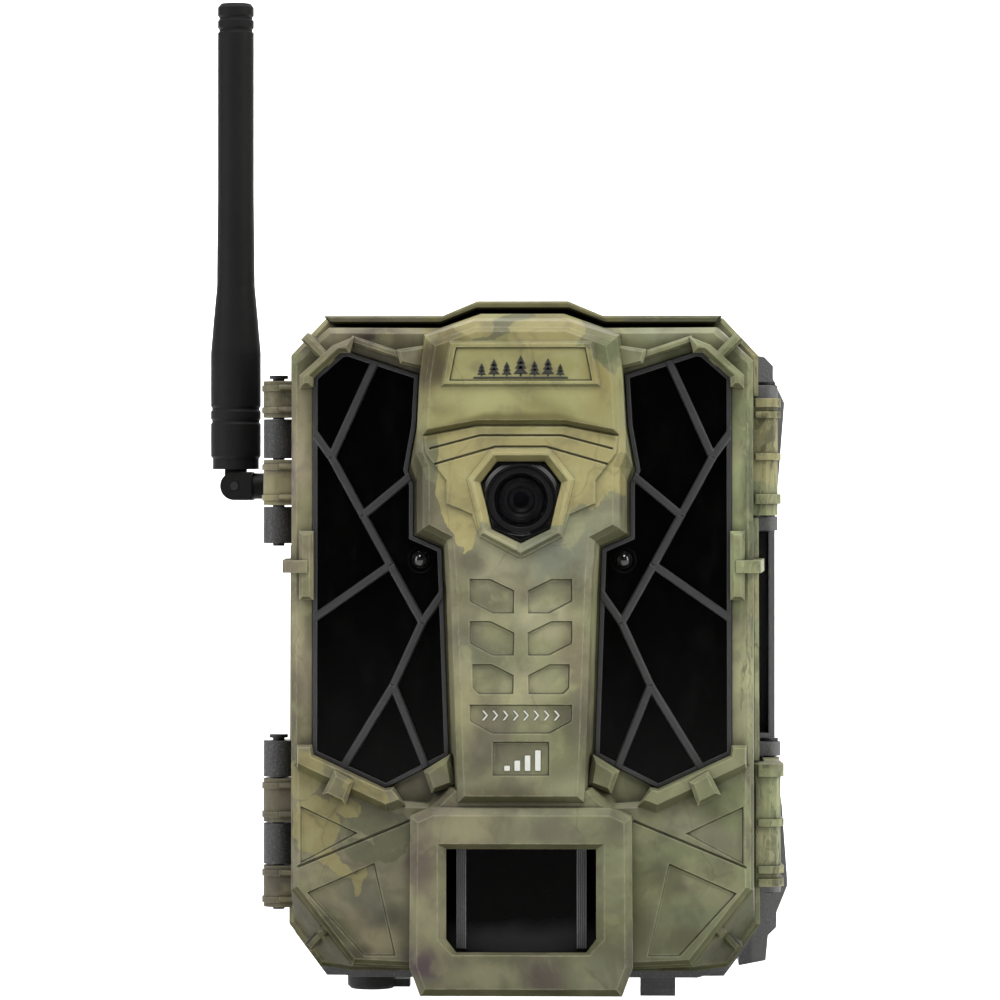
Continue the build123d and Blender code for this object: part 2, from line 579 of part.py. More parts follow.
with BuildPart() as pir_board:
    block(-14, 14, -36.6, -38.0, 12.0, 31.0)
    block(-11, -6, -35.4, -36.65, 14, 18)
    block(5, 10, -35.6, -36.65, 23, 28)
export_piece(pir_board, "pir_board")

# -------------------------------------------------------------- electronics
BOARD_FRONT, BOARD_REAR = -31.8, -30.2
CHIP_ROOT = BOARD_FRONT + 0.05        # components bite into the board
# Components on the front of the main board: x0, x1, front y, z0, z1.
CHIPS = [
    (-6, 8, -33.2, 60, 74), (14, 22, -32.8, 78, 86),
    (-20, -10, -33.6, 100, 108), (20, 30, -34.4, 50, 56),
]
with BuildPart() as main_board:
    block(-35, 35, BOARD_FRONT, BOARD_REAR, 47, 124)
    rod_y(0, LENS_Z, 2.0, -30, -32, mode=Mode.SUBTRACT)
    for x0, x1, y_front, z0, z1 in CHIPS:
        block(x0, x1, y_front, CHIP_ROOT, z0, z1)
    for k in range(5):
        block(-32 + k * 3, -30.6 + k * 3, -32.6, CHIP_ROOT, 114, 116.4)
export_piece(main_board, "main_board")

with BuildPart() as cellular_module:
    block(-32, -8, -31.85, -34.4, 70, 96)
    block(-30, -27, -34.3, -35.4, 72, 75)
    block(-31.2, -8.8, -34.3, -34.6, 77, 95.2)
export_piece(cellular_module, "cellular_module")

# Screen, keys and switch act through the inner panel.
LCD_X0, LCD_X1, LCD_Z0, LCD_Z1 = -27.0, 13.0, 84.0, 114.0
LCD_BEZEL = 1.5
KEY_X = 27.5
KEYS = [("button_up", 110.5), ("button_down", 101.5), ("button_back", 92.5), ("button_ok", 83.5)]
with BuildPart() as lcd_screen:
    block(LCD_X0 - 2.5, LCD_X1 + 2.5, -30.1, -28.0, LCD_Z0 - 2.5, LCD_Z1 + 2.5)
    block(LCD_X0 + 0.3, LCD_X1 - 0.3, -28.1, -26.6, LCD_Z0 + 0.3, LCD_Z1 - 0.3)
export_piece(lcd_screen, "lcd_screen")

PANEL_UPPER = mirrored([(7.4, 132.0), (15.0, 129.4), (37.4, 129.5), (42.7, 124.4), (43.0, 44.0)])
PANEL_LOWER = mirrored([(42.4, 46.0), (42.4, 21.0), (34.6, 10.6), (21.0, 10.2)])
# Bezel strips round the screen: x0, x1, z0, z1.
BEZEL_STRIPS = [
    (LCD_X0 - LCD_BEZEL, LCD_X1 + LCD_BEZEL, LCD_Z1, LCD_Z1 + LCD_BEZEL),
    (LCD_X0 - LCD_BEZEL, LCD_X1 + LCD_BEZEL, LCD_Z0 - LCD_BEZEL, LCD_Z0),
    (LCD_X0 - LCD_BEZEL, LCD_X0, LCD_Z0, LCD_Z1),
    (LCD_X1, LCD_X1 + LCD_BEZEL, LCD_Z0, LCD_Z1),
]
# Mouths of the card slot, SIM slot and data socket: x0, x1, front y, rear y.
SLOT_MOUTHS = [(-33.6, -8.4, -30.2, -27.5), (13.4, 26.6, -30.2, -28.3), (-3.9, 5.9, -30.2, -27.4)]
with BuildPart() as inner_panel:
    # Upper deck, lower deck further forward, and the step between them.
    slab(PANEL_UPPER, -27.5, -25.6)
    slab(PANEL_LOWER, -33.5, -31.9)
    block(-42.4, 42.4, -33.5, -25.6, 44.0, 45.6)
    # Raised rim round the upper deck.
    slab(inset(PANEL_UPPER, 1.0), -25.7, -24.6, hole=inset(PANEL_UPPER, 2.4))
    block(LCD_X0, LCD_X1, -29, -24, LCD_Z0, LCD_Z1, mode=Mode.SUBTRACT)
    for x0, x1, z0, z1 in BEZEL_STRIPS:
        block(x0, x1, -25.7, -25.0, z0, z1)
    for _, z in KEYS:
        rod_y(KEY_X, z, 4.6, -25.7, -25.1)
        rod_y(KEY_X, z, 3.5, -29, -24, mode=Mode.SUBTRACT)
    # Opening for the switch.
    block(-2.0, 12.0, -29, -24, 58.0, 64.0, mode=Mode.SUBTRACT)
    for x0, x1, y0, y1 in SLOT_MOUTHS:
        block(x0, x1, y0, y1, 43, 47, mode=Mode.SUBTRACT)
    for x, z, _, seat_y in PANEL_SCREWS:
        rod_y(x, z, 1.5, -36, -24, mode=Mode.SUBTRACT)
        rod_y(x, z, 2.7, -24, seat_y, mode=Mode.SUBTRACT)
export_piece(inner_panel, "inner_panel")

for name, z in KEYS:
    with BuildPart() as key:
        rod_y(KEY_X, z, 3.3, -28.4, -24.6)
        rod_y(KEY_X, z, 2.6, -24.7, -24.2)
        rod_y(KEY_X, z, 4.2, -28.7, -28.0)
    export_piece(key, name)

# Switch with two ridges on its rear face.
with BuildPart() as power_switch:
    block(-1.6, 3.0, -28.6, -24.2, 58.4, 63.6)
    block(-1.0, 0.0, -24.3, -23.8, 58.8, 63.2)
    block(1.4, 2.4, -24.3, -23.8, 58.8, 63.2)
export_piece(power_switch, "power_switch")

with BuildPart() as card_slot:
    block(-34.2, -7.8, -30.15, -27.55, 47.4, 78.0)
    block(-33.3, -8.7, -29.95, -27.75, 46.0, 76.0, mode=Mode.SUBTRACT)
    block(-24, -18, -28.5, -27.0, 50, 60, mode=Mode.SUBTRACT)
export_piece(card_slot, "card_slot")

# Card with one cut corner and a grip groove on the rear face.
CARD = [(-33.0, 42.6), (-33.0, 74.8), (-12.0, 74.8), (-9.0, 71.8), (-9.0, 42.6)]
with BuildPart() as memory_card:
    slab(CARD, -27.8, -29.9)
    block(-31, -11, -28.0, -27.6, 43.2, 44.0, mode=Mode.SUBTRACT)
export_piece(memory_card, "memory_card")

with BuildPart() as sim_slot:
    block(12.8, 27.2, -30.15, -28.3, 47.4, 63.0)
    block(13.7, 26.3, -29.75, -28.7, 46.0, 61.0, mode=Mode.SUBTRACT)
export_piece(sim_slot, "sim_slot")

with BuildPart() as sim_card:
    block(14.0, 26.0, -29.6, -28.8, 43.2, 58.6)
export_piece(sim_card, "sim_card")

with BuildPart() as data_socket:
    block(-3.0, 5.0, -30.15, -27.55, 46.0, 52.0)
    block(-2.5, 4.5, -29.7, -28.0, 45.0, 50.5, mode=Mode.SUBTRACT)
export_piece(data_socket, "data_socket")

# Screws with a cross slot in the head.
SLOT_HALF_WIDTH, SLOT_HALF_LENGTH = 0.35, 1.7
with BuildPart() as panel_screws:
    for x, z, _, seat_y in PANEL_SCREWS:
        head_y = seat_y + 0.05
        rod_y(x, z, 1.0, head_y, head_y - 8.5)
        rod_y(x, z, 2.4, head_y, head_y + 1.5)
        for dx, dz in (
                (SLOT_HALF_WIDTH, SLOT_HALF_LENGTH), (SLOT_HALF_LENGTH, SLOT_HALF_WIDTH)):
            block(x - dx, x + dx, head_y + 0.8, head_y + 2, z - dz, z + dz, mode=Mode.SUBTRACT)
export_piece(panel_screws, "panel_screws")

with BuildPart() as name_plate:
    slab([(-12.5, 128.1), (12.5, 128.1), (13.75, 121.8), (-13.75, 121.8)], -60.42, -60.95)
export_piece(name_plate, "name_plate")

# ------------------------------------------------------------- rear housing
HOUSING = mirrored([
    (8.7, 137.5), (15.7, 134.7), (39.6, 134.7), (46.5, 127.3),
    (46.9, 10.4), (40.4, 1.7), (22.0, 1.6)])
FLANGE = mirrored([
    (8.9, 138.0), (15.8, 135.05), (40.0, 135.1), (47.1, 127.6),
    (47.5, 13.0), (41.2, 3.4), (35.0, 1.6), (22.0, 1.6)])
# Guard along the right side: x and z.
GUARD = [
    (44.0, 129.0), (48.0, 128.5), (49.3, 128.3), (51.15, 126.4), (51.15, 123.7), (53.5, 118.7),
    (52.4, 104.6), (51.5, 94.3), (51.5, 48.0), (52.0, 41.9), (53.0, 35.0), (54.1, 19.7),
    (54.1, 18.2), (51.9, 12.8), (51.8, 9.6), (50.1, 7.9), (49.6, 2.7), (44.0, 1.6)]
# Right strap ear with its toothed inner flank: x and y.
EAR = [
    (41.0, 17.0), (41.0, 24.5), (38.5, EAR_Y), (34.0, EAR_Y), (33.0, 26.6), (32.0, 27.0),
    (31.0, 25.4), (30.0, 25.8), (29.0, 24.2), (28.0, 24.4), (27.0, 21.0), (27.0, 17.0)]
EAR_LEVELS = ((88.0, 118.0), (20.0, 50.0))
HINGE_ARM = [(-52.6, -24.0), (-46.4, -24.6), (-46.1, -21.0), (-46.1, -19.0), (-47.6, -19.0)]


def housing_shell():
    slab(FLANGE, SEAM_REAR, -18.6)
    slab(HOUSING, -19.0, 12.0)
    taper(HOUSING, 12.0, inset(HOUSING, 3.2), BACK_Y)
    slab(GUARD, 3.0, 17.0)
    # Recessed bays along the guard leave it as a rail with webs.
    for z0, z1 in ((20.0, 42.0), (50.0, 92.0), (98.0, 118.0)):
        block(47.6, 50.2, 2.0, 14.0, z0, z1, mode=Mode.SUBTRACT)


def housing_back():
    # Stiffening ribs.
    for x in (-22.0, -11.0, 0.0, 11.0, 22.0):
        block(x - 1.0, x + 1.0, 21.5, 23.4, 12.0, 126.0)
    block(-30.0, 30.0, 21.5, 23.0, 66.0, 72.0)
    # Strap ears, then the strap slots through them, clear of the ribs.
    for z0, z1 in EAR_LEVELS:
        for side in SIDES:
            prism_z([(side * x, y) for x, y in EAR], z0, z1 - z0)
    for z0, z1 in EAR_LEVELS:
        for side in SIDES:
            block(side * 26.0, side * 41.5, 22.4, 24.6, z0 + 2.0, z1 - 2.0, mode=Mode.SUBTRACT)


def housing_hollow():
    # Battery compartment.
    slab(inset(HOUSING, 3.0), -23.0, 12.0, mode=Mode.SUBTRACT)
    taper(inset(HOUSING, 3.0), 12.0, inset(HOUSING, 6.0), 19.4, mode=Mode.SUBTRACT)
    # Gasket groove in the flange.
    slab(inset(FLANGE, 1.6), SEAM_REAR - 0.1, -20.7, mode=Mode.SUBTRACT, hole=inset(FLANGE, 2.9))


def housing_underside():
    # Tripod boss, foot, jack well and two lugs for the bar of the jack cap.
    block(-12.0, 12.0, -12.0, 12.0, 0.0, 6.0)
    rod_z(0, 0, 9.0, 0.0, 9.2)
    block(23.5, 30.7, -8.0, 6.0, -3.8, 4.0)
    rod_z(JACK_X, JACK_Y, 6.8, 1.6, 5.2)
    for side in SIDES:
        block(JACK_X + side * 2.8, JACK_X + side * 4.2, 13.0, 15.4, -0.7, 4.0)
    rod_z(0, 0, 5.3, -1.0, 9.3, mode=Mode.SUBTRACT)
    rod_z(JACK_X, JACK_Y, 3.9, 0.0, 20.0, mode=Mode.SUBTRACT)
    # Bevel on the lower front edge of the foot.
    with BuildSketch(Plane.YZ.offset(22.0)) as foot_cut:
        with BuildLine():
            Polyline((-9.0, -1.2), (-5.5, -4.0), (-9.0, -4.0), close=True)
        make_face()
    extrude(foot_cut.sketch, amount=10, dir=(1, 0, 0), mode=Mode.SUBTRACT)


def housing_hinge():
    # Relief for the cover's barrels, then the barrels on arms.
    for z0, z1 in COVER_KNUCKLES:
        rod_z(HINGE_X, HINGE_Y, HINGE_R + 0.7, z0 - 0.1, z1 + 0.1, mode=Mode.SUBTRACT)
    for z0, z1 in HOUSING_KNUCKLES:
        low, high = z0 + KNUCKLE_GAP, z1 - KNUCKLE_GAP
        rod_z(HINGE_X, HINGE_Y, HINGE_R, low, high)
        prism_z(HINGE_ARM, low, high - low)
    rod_z(HINGE_X, HINGE_Y, PIN_BORE_R, 10, 130, mode=Mode.SUBTRACT)


def housing_latch_lugs():
    # Lugs above and below each latch.
    for _, z0, z1, pin_x in LATCHES:
        for low, high in ((z0 - 3.2, z0 - 0.25), (z1 + 0.25, z1 + 3.2)):
            rod_z(pin_x, LATCH_Y, 2.4, low, high)
            block(45.5, pin_x, LATCH_Y - 2.4, LATCH_Y + 2.4, low, high)
            rod_z(pin_x, LATCH_Y, PIN_BORE_R, low - 1, high + 1, mode=Mode.SUBTRACT)


with BuildPart() as rear_housing:
    housing_shell()
    housing_back()
    housing_hollow()
    housing_underside()
    # Antenna connector hole.
    rod_x(0, ANT_Z, 3.3, -50, -40, mode=Mode.SUBTRACT)
    housing_hinge()
    housing_latch_lugs()
    # Standoffs that carry the tray.
    for x in (-25.0, 25.0):
        for z in (30.0, 66.0, 104.0):
            rod_y(x, z, 3.0, 2.1, 19.8)
export_piece(rear_housing, "rear_housing")

with BuildPart() as door_gasket:
    slab(inset(FLANGE, 1.68), -20.72, -22.1, hole=inset(FLANGE, 2.82))
export_piece(door_gasket, "door_gasket")

# Pins with a head at the upper end: two in the hinge, one in each latch.
with BuildPart() as hinge_pins:
    for z0, z1 in ((89.2, 123.0), (15.7, 50.4)):
        rod_z(HINGE_X, HINGE_Y, PIN_R, z0, z1)
        rod_z(HINGE_X, HINGE_Y, PIN_HEAD_R, z1, z1 + 0.7)
export_piece(hinge_pins, "hinge_pins")

with BuildPart() as latch_pins:
    for _, z0, z1, pin_x in LATCHES:
        rod_z(pin_x, LATCH_Y, PIN_R, z0 - 3.4, z1 + 3.4)
        rod_z(pin_x, LATCH_Y, PIN_HEAD_R, z1 + 3.25, z1 + 3.9)
export_piece(latch_pins, "latch_pins")

# ------------------------------------------------------------------ battery
CELL_R, CELL_LENGTH = 7.15, 50.2      # AA cell, nub included
NUB_R, NUB_HEIGHT = 2.7, 1.2
CELL_Y = -8.0
COLUMNS = (-22.95, -7.65, 7.65, 22.95)
ROWS = [(z, z + CELL_LENGTH) for z in (12.6, 68.9)]
# Every cell: x, lowest level, highest level, whether its nub points up.
CELLS = [(x, z0, z1, k % 2 == 0) for k, x in enumerate(COLUMNS) for z0, z1 in ROWS]
SPRING_WIDE_R, SPRING_NARROW_R = 4.4, 3.2

with BuildPart() as battery_tray:
    block(-32.0, 32.0, -15.6, 1.9, 9.6, 122.2)
    block(-31.0, 31.0, -17.0, -0.3, 10.8, 64.8, mode=Mode.SUBTRACT)
    block(-31.0, 31.0, -17.0, -0.3, 67.0, 121.0, mode=Mode.SUBTRACT)
    # Cradle ribs across the columns, then the beds of the cells.
    for z0, z1 in ROWS:
        for z in (z0 + 8.0, z1 - 10.0):
            block(-31.2, 31.2, -8.0, -0.2, z, z + 1.6)
    for z0, z1 in ROWS:
        for x in COLUMNS:
            rod_z(x, CELL_Y, CELL_R + 0.2, z0, z1, mode=Mode.SUBTRACT)
    # Tab on the top edge and two screw holes.
    block(-6.0, 6.0, -15.7, -14.0, 120.0, 126.0)
    for x in (-25.0, 25.0):
        rod_y(x, 66.0, 1.2, -17, 3, mode=Mode.SUBTRACT)
export_piece(battery_tray, "battery_tray")

with BuildPart() as aa_cells:
    for x, z0, z1, nub_up in CELLS:
        if nub_up:
            rod_z(x, CELL_Y, CELL_R, z0, z1 - NUB_HEIGHT)
            rod_z(x, CELL_Y, NUB_R, z1 - NUB_HEIGHT, z1)
        else:
            rod_z(x, CELL_Y, CELL_R, z0 + NUB_HEIGHT, z1)
            rod_z(x, CELL_Y, NUB_R, z0, z0 + NUB_HEIGHT)
export_piece(aa_cells, "aa_cells")

# Contact plates below and above each cell.
with BuildPart() as battery_contacts:
    for x, z0, z1, _ in CELLS:
        for low, high in ((z0 - 1.73, z0 - 1.3), (z1 + 1.4, z1 + 1.83)):
            block(x - 5.5, x + 5.5, CELL_Y - 5.5, CELL_Y + 5.5, low, high)
export_piece(battery_contacts, "battery_contacts")

# Springs, each shown as a solid cone that narrows towards the cell.
with BuildPart() as battery_springs:
    for x, z0, z1, nub_up in CELLS:
        if nub_up:
            low, high = z0 - 1.28, z0 - 0.03
            bottom_r, top_r = SPRING_WIDE_R, SPRING_NARROW_R
        else:
            low, high = z1 + 0.03, z1 + 1.38
            bottom_r, top_r = SPRING_NARROW_R, SPRING_WIDE_R
        with Locations((x, CELL_Y, (low + high) / 2)):
            Cone(bottom_r, top_r, high - low)
export_piece(battery_springs, "battery_springs")

with BuildPart() as power_board:
    block(-20.0, 20.0, 6.0, 7.6, 70.0, 116.0)
    block(-14.0, -4.0, 7.5, 11.0, 76.0, 86.0)
    block(4.0, 12.0, 7.5, 10.4, 90.0, 102.0)
    rod_y(12.0, 80.0, 3.0, 7.5, 13.5)
export_piece(power_board, "power_board")

# Jack: body with a flange, a socket and the pin inside it.
with BuildPart() as dc_jack:
    rod_z(JACK_X, JACK_Y, 3.75, 2.4, 13.0)
    rod_z(JACK_X, JACK_Y, 5.0, 5.3, 11.5)
    rod_z(JACK_X, JACK_Y, 2.75, 2.0, 11.4, mode=Mode.SUBTRACT)
    rod_z(JACK_X, JACK_Y, 1.05, 2.9, 11.5)
export_piece(dc_jack, "dc_jack")

THREAD_R = 2.55         # core of the 1/4-20 thread
with BuildPart() as tripod_insert:
    rod_z(0, 0, 5.2, 0.0, 9.1)
    rod_z(0, 0, THREAD_R, -0.1, 9.2, mode=Mode.SUBTRACT)
export_piece(tripod_insert, "tripod_insert")

# Rubber jack cap: plug with a hollow neck, a pull tab, and a strap to a bar.
with BuildPart() as jack_cap:
    rod_z(JACK_X, JACK_Y, 5.1, -3.6, 1.45)
    chamfer(jack_cap.edges().filter_by(GeomType.CIRCLE).group_by(Axis.Z)[0], length=0.7)
    rod_z(JACK_X, JACK_Y, 2.2, 1.4, 3.2)
    rod_z(JACK_X, JACK_Y, 1.5, 1.4, 3.3, mode=Mode.SUBTRACT)
    block(JACK_X + 3.5, JACK_X + 8.0, JACK_Y - 2.2, JACK_Y + 2.2, -3.2, -1.6)
    block(JACK_X - 2.4, JACK_X + 2.4, JACK_Y + 4.0, JACK_Y + 7.0, -0.5, 1.0)
    rod_x(JACK_Y + 7.0, 0.3, 0.9, JACK_X - 2.7, JACK_X + 2.7)
export_piece(jack_cap, "jack_cap")

# ------------------------------------------------------------------ latches
# Sections of the lever and of a ridge: x from the pin, y.
LEVER = [
    (1.3, -4.2), (1.9, -10.0), (1.6, -29.6), (0.8, -31.6), (-0.8, -32.3), (-3.5, -32.3),
    (-4.1, -31.6), (-4.1, -24.2), (-1.5, -23.2), (-1.5, -8.4), (-2.1, -6.0), (-1.5, -4.2)]
RIDGE = [
    (1.5, -9.0), (2.1, -28.0), (2.2, -30.2), (1.2, -32.2), (-0.6, -32.9),
    (-3.0, -32.9), (-3.0, -31.0), (-0.4, -28.0), (-0.4, -9.0)]
# Grip ridges on each latch: middle height and width.
RIDGES = {
    "latch_upper": [(118.0, 1.8), (115.6, 1.3), (107.2, 1.4), (98.7, 2.0)],
    "latch_lower": [(44.3, 2.6), (33.8, 1.5), (24.4, 1.5), (21.8, 1.6)],
}
for name, z0, z1, pin_x in LATCHES:
    with BuildPart() as latch:
        with BuildSketch(Plane.XY.offset(z0)) as lever:
            with BuildLine():
                Polyline(*[(pin_x + dx, y) for dx, y in LEVER], close=True)
            make_face()
            with Locations((pin_x, LATCH_Y)):
                Circle(2.15)
        extrude(lever.sketch, amount=z1 - z0, dir=(0, 0, 1))
        for z, width in RIDGES[name]:
            prism_z([(pin_x + dx, y) for dx, y in RIDGE], z - width / 2, width)
        rod_z(pin_x, LATCH_Y, PIN_R + 0.08, z0 - 1, z1 + 1, mode=Mode.SUBTRACT)
    export_piece(latch, name)

# ------------------------------------------------------------------ antenna
EYE_R = 2.95            # ends of the fork
FORK_IN, FORK_OUT = 1.9, 4.2          # faces of each fork arm, from y = 0
GROOVE_COUNT, GROOVE_RING_R = 12, 3.75
# Whip: radius and height, top to bottom.
WHIP_BOTTOM, WHIP_TOP = 104.9, 201.7
WHIP = [
    (3.1, WHIP_TOP), (3.75, 200.9), (3.75, 199.2), (3.45, 198.9), (3.45, 198.4),
    (3.75, 198.1), (3.75, 196.7), (3.45, 196.4), (3.45, 195.9), (3.75, 195.6),
    (3.75, 161.0), (3.95, 143.0), (4.6, 136.0), (5.2, 129.0), (5.2, 118.0),
    (4.95, 117.7), (4.95, 117.2), (5.2, 116.9), (5.2, 115.4), (4.95, 115.1),
    (4.95, 114.6), (5.2, 114.3), (5.2, 107.6), (4.8, 107.1), (4.8, WHIP_BOTTOM)]

with BuildPart() as antenna_connector:
    rod_x(0, ANT_Z, 3.2, -47.6, -42.6)
    rod_x(0, ANT_Z, 4.2, -43.5, -42.2)
    rod_x(0, ANT_Z, 2.4, -53.0, -47.5)
    rod_x(0, ANT_Z, 0.6, -53.5, -40.0, mode=Mode.SUBTRACT)
    # Raised rings in place of a thread.
    for k in range(5):
        rod_x(0, ANT_Z, 2.55, -48.6 - k * 0.9, -49.0 - k * 0.9)
export_piece(antenna_connector, "antenna_connector")

with BuildPart() as antenna_base:
    rod_x(0, ANT_Z, 3.6, -54.6, -47.8)
    rod_x(0, ANT_Z, 2.7, -57.3, -54.5)
    # Fork that holds the whip.
    block(-57.85, -57.0, -FORK_OUT, FORK_OUT, ANT_Z - EYE_R, ANT_Z + EYE_R)
    for side in SIDES:
        rod_y(ANT_X, ANT_Z, EYE_R, side * FORK_IN, side * FORK_OUT)
        block(ANT_X, -57.2, side * FORK_IN, side * FORK_OUT, ANT_Z - EYE_R, ANT_Z + EYE_R)
    rod_y(ANT_X, ANT_Z, 2.9, -FORK_IN, FORK_IN, mode=Mode.SUBTRACT)
    rod_x(0, ANT_Z, 2.63, -53.3, -47.0, mode=Mode.SUBTRACT)
    rod_y(ANT_X, ANT_Z, 0.95, -5, 5, mode=Mode.SUBTRACT)
    # Grooves round the nut.
    for k in range(GROOVE_COUNT):
        angle = math.radians(360 / GROOVE_COUNT * k)
        y, dz = GROOVE_RING_R * math.cos(angle), GROOVE_RING_R * math.sin(angle)
        with Locations((-49.8, y, ANT_Z + dz)):
            Box(3.2, 0.5, 0.5, rotation=(math.degrees(angle), 0, 0), mode=Mode.SUBTRACT)
export_piece(antenna_base, "antenna_base")

with BuildPart() as antenna_pin:
    rod_y(ANT_X, ANT_Z, 0.9, -4.3, 4.3)
export_piece(antenna_pin, "antenna_pin")

with BuildPart() as antenna_whip:
    with BuildSketch(Plane.XZ):
        with BuildLine():
            profile = [(ANT_X + radius, z) for radius, z in WHIP]
            Polyline((ANT_X, WHIP_BOTTOM), (ANT_X, WHIP_TOP), *profile, close=True)
        make_face()
    revolve(axis=Axis((ANT_X, 0, 0), (0, 0, 1)))
    # Eye that turns in the fork.
    rod_y(ANT_X, ANT_Z, 2.65, -1.65, 1.65)
    block(ANT_X - 2.2, ANT_X + 2.2, -1.65, 1.65, ANT_Z, 105.2)
    rod_y(ANT_X, ANT_Z, 1.0, -3, 3, mode=Mode.SUBTRACT)
export_piece(antenna_whip, "antenna_whip")
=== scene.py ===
"""Box-shaped outdoor camera with an antenna, printed in camouflage.

The front cover faces -Y, Z is up and X runs across. The hinges are on the -X
side and the latches on the +X side. Blender works in metres; the lengths below
are in mm unless said otherwise. Colours are sRGB, 0 to 255, passed through rgb().
"""
import math
from functools import cached_property

import bmesh
import bpy
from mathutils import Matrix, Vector

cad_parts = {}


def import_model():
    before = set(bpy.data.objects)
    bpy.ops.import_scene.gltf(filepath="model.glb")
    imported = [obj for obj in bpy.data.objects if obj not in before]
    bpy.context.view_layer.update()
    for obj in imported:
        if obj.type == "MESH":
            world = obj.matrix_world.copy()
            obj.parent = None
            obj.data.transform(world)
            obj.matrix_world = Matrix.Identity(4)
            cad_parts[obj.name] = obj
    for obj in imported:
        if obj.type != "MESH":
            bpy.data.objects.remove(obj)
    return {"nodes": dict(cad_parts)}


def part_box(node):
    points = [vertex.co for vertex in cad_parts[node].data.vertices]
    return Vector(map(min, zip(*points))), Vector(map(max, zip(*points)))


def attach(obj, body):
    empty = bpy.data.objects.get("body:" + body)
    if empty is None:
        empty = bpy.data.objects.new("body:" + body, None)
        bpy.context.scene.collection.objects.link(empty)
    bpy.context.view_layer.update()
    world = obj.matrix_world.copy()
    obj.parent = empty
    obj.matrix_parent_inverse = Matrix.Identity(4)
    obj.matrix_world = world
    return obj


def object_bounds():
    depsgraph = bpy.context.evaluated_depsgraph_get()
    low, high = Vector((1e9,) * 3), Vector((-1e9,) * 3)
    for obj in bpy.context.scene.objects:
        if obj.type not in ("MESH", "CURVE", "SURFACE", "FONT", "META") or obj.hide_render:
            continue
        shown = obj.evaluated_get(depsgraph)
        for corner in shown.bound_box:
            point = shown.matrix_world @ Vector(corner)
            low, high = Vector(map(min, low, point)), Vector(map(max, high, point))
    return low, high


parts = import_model()["nodes"]
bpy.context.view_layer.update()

MM = 0.001

# Driving dimensions shared by materials and meshes.
LENS_Z = 98.5
CELL_PITCH = 15.3  # between battery cells, along X
CELL_LENGTH = 50.2
CELL_BOTTOM = 12.6  # Z of the lower row
CELL_ROW_PITCH = 56.3  # from the lower row to the upper one


# ------------------------------------------------------------- node helpers
class Nodes:
    """The emptied node tree of a material or world."""

    def __init__(self, owner):
        owner.use_nodes = True
        self.tree = owner.node_tree
        self.tree.nodes.clear()

    def put(self, socket, value):
        if isinstance(value, bpy.types.NodeSocket):
            self.tree.links.new(value, socket)
        else:
            socket.default_value = value

    def node(self, kind, inputs=(), **settings):
        """A new node. Inputs are a list in socket order, or a dict by name or index."""
        node = self.tree.nodes.new(kind)
        for key, value in settings.items():
            setattr(node, key, value)
        pairs = inputs.items() if isinstance(inputs, dict) else enumerate(inputs)
        for key, value in pairs:
            self.put(node.inputs[key], value)
        return node


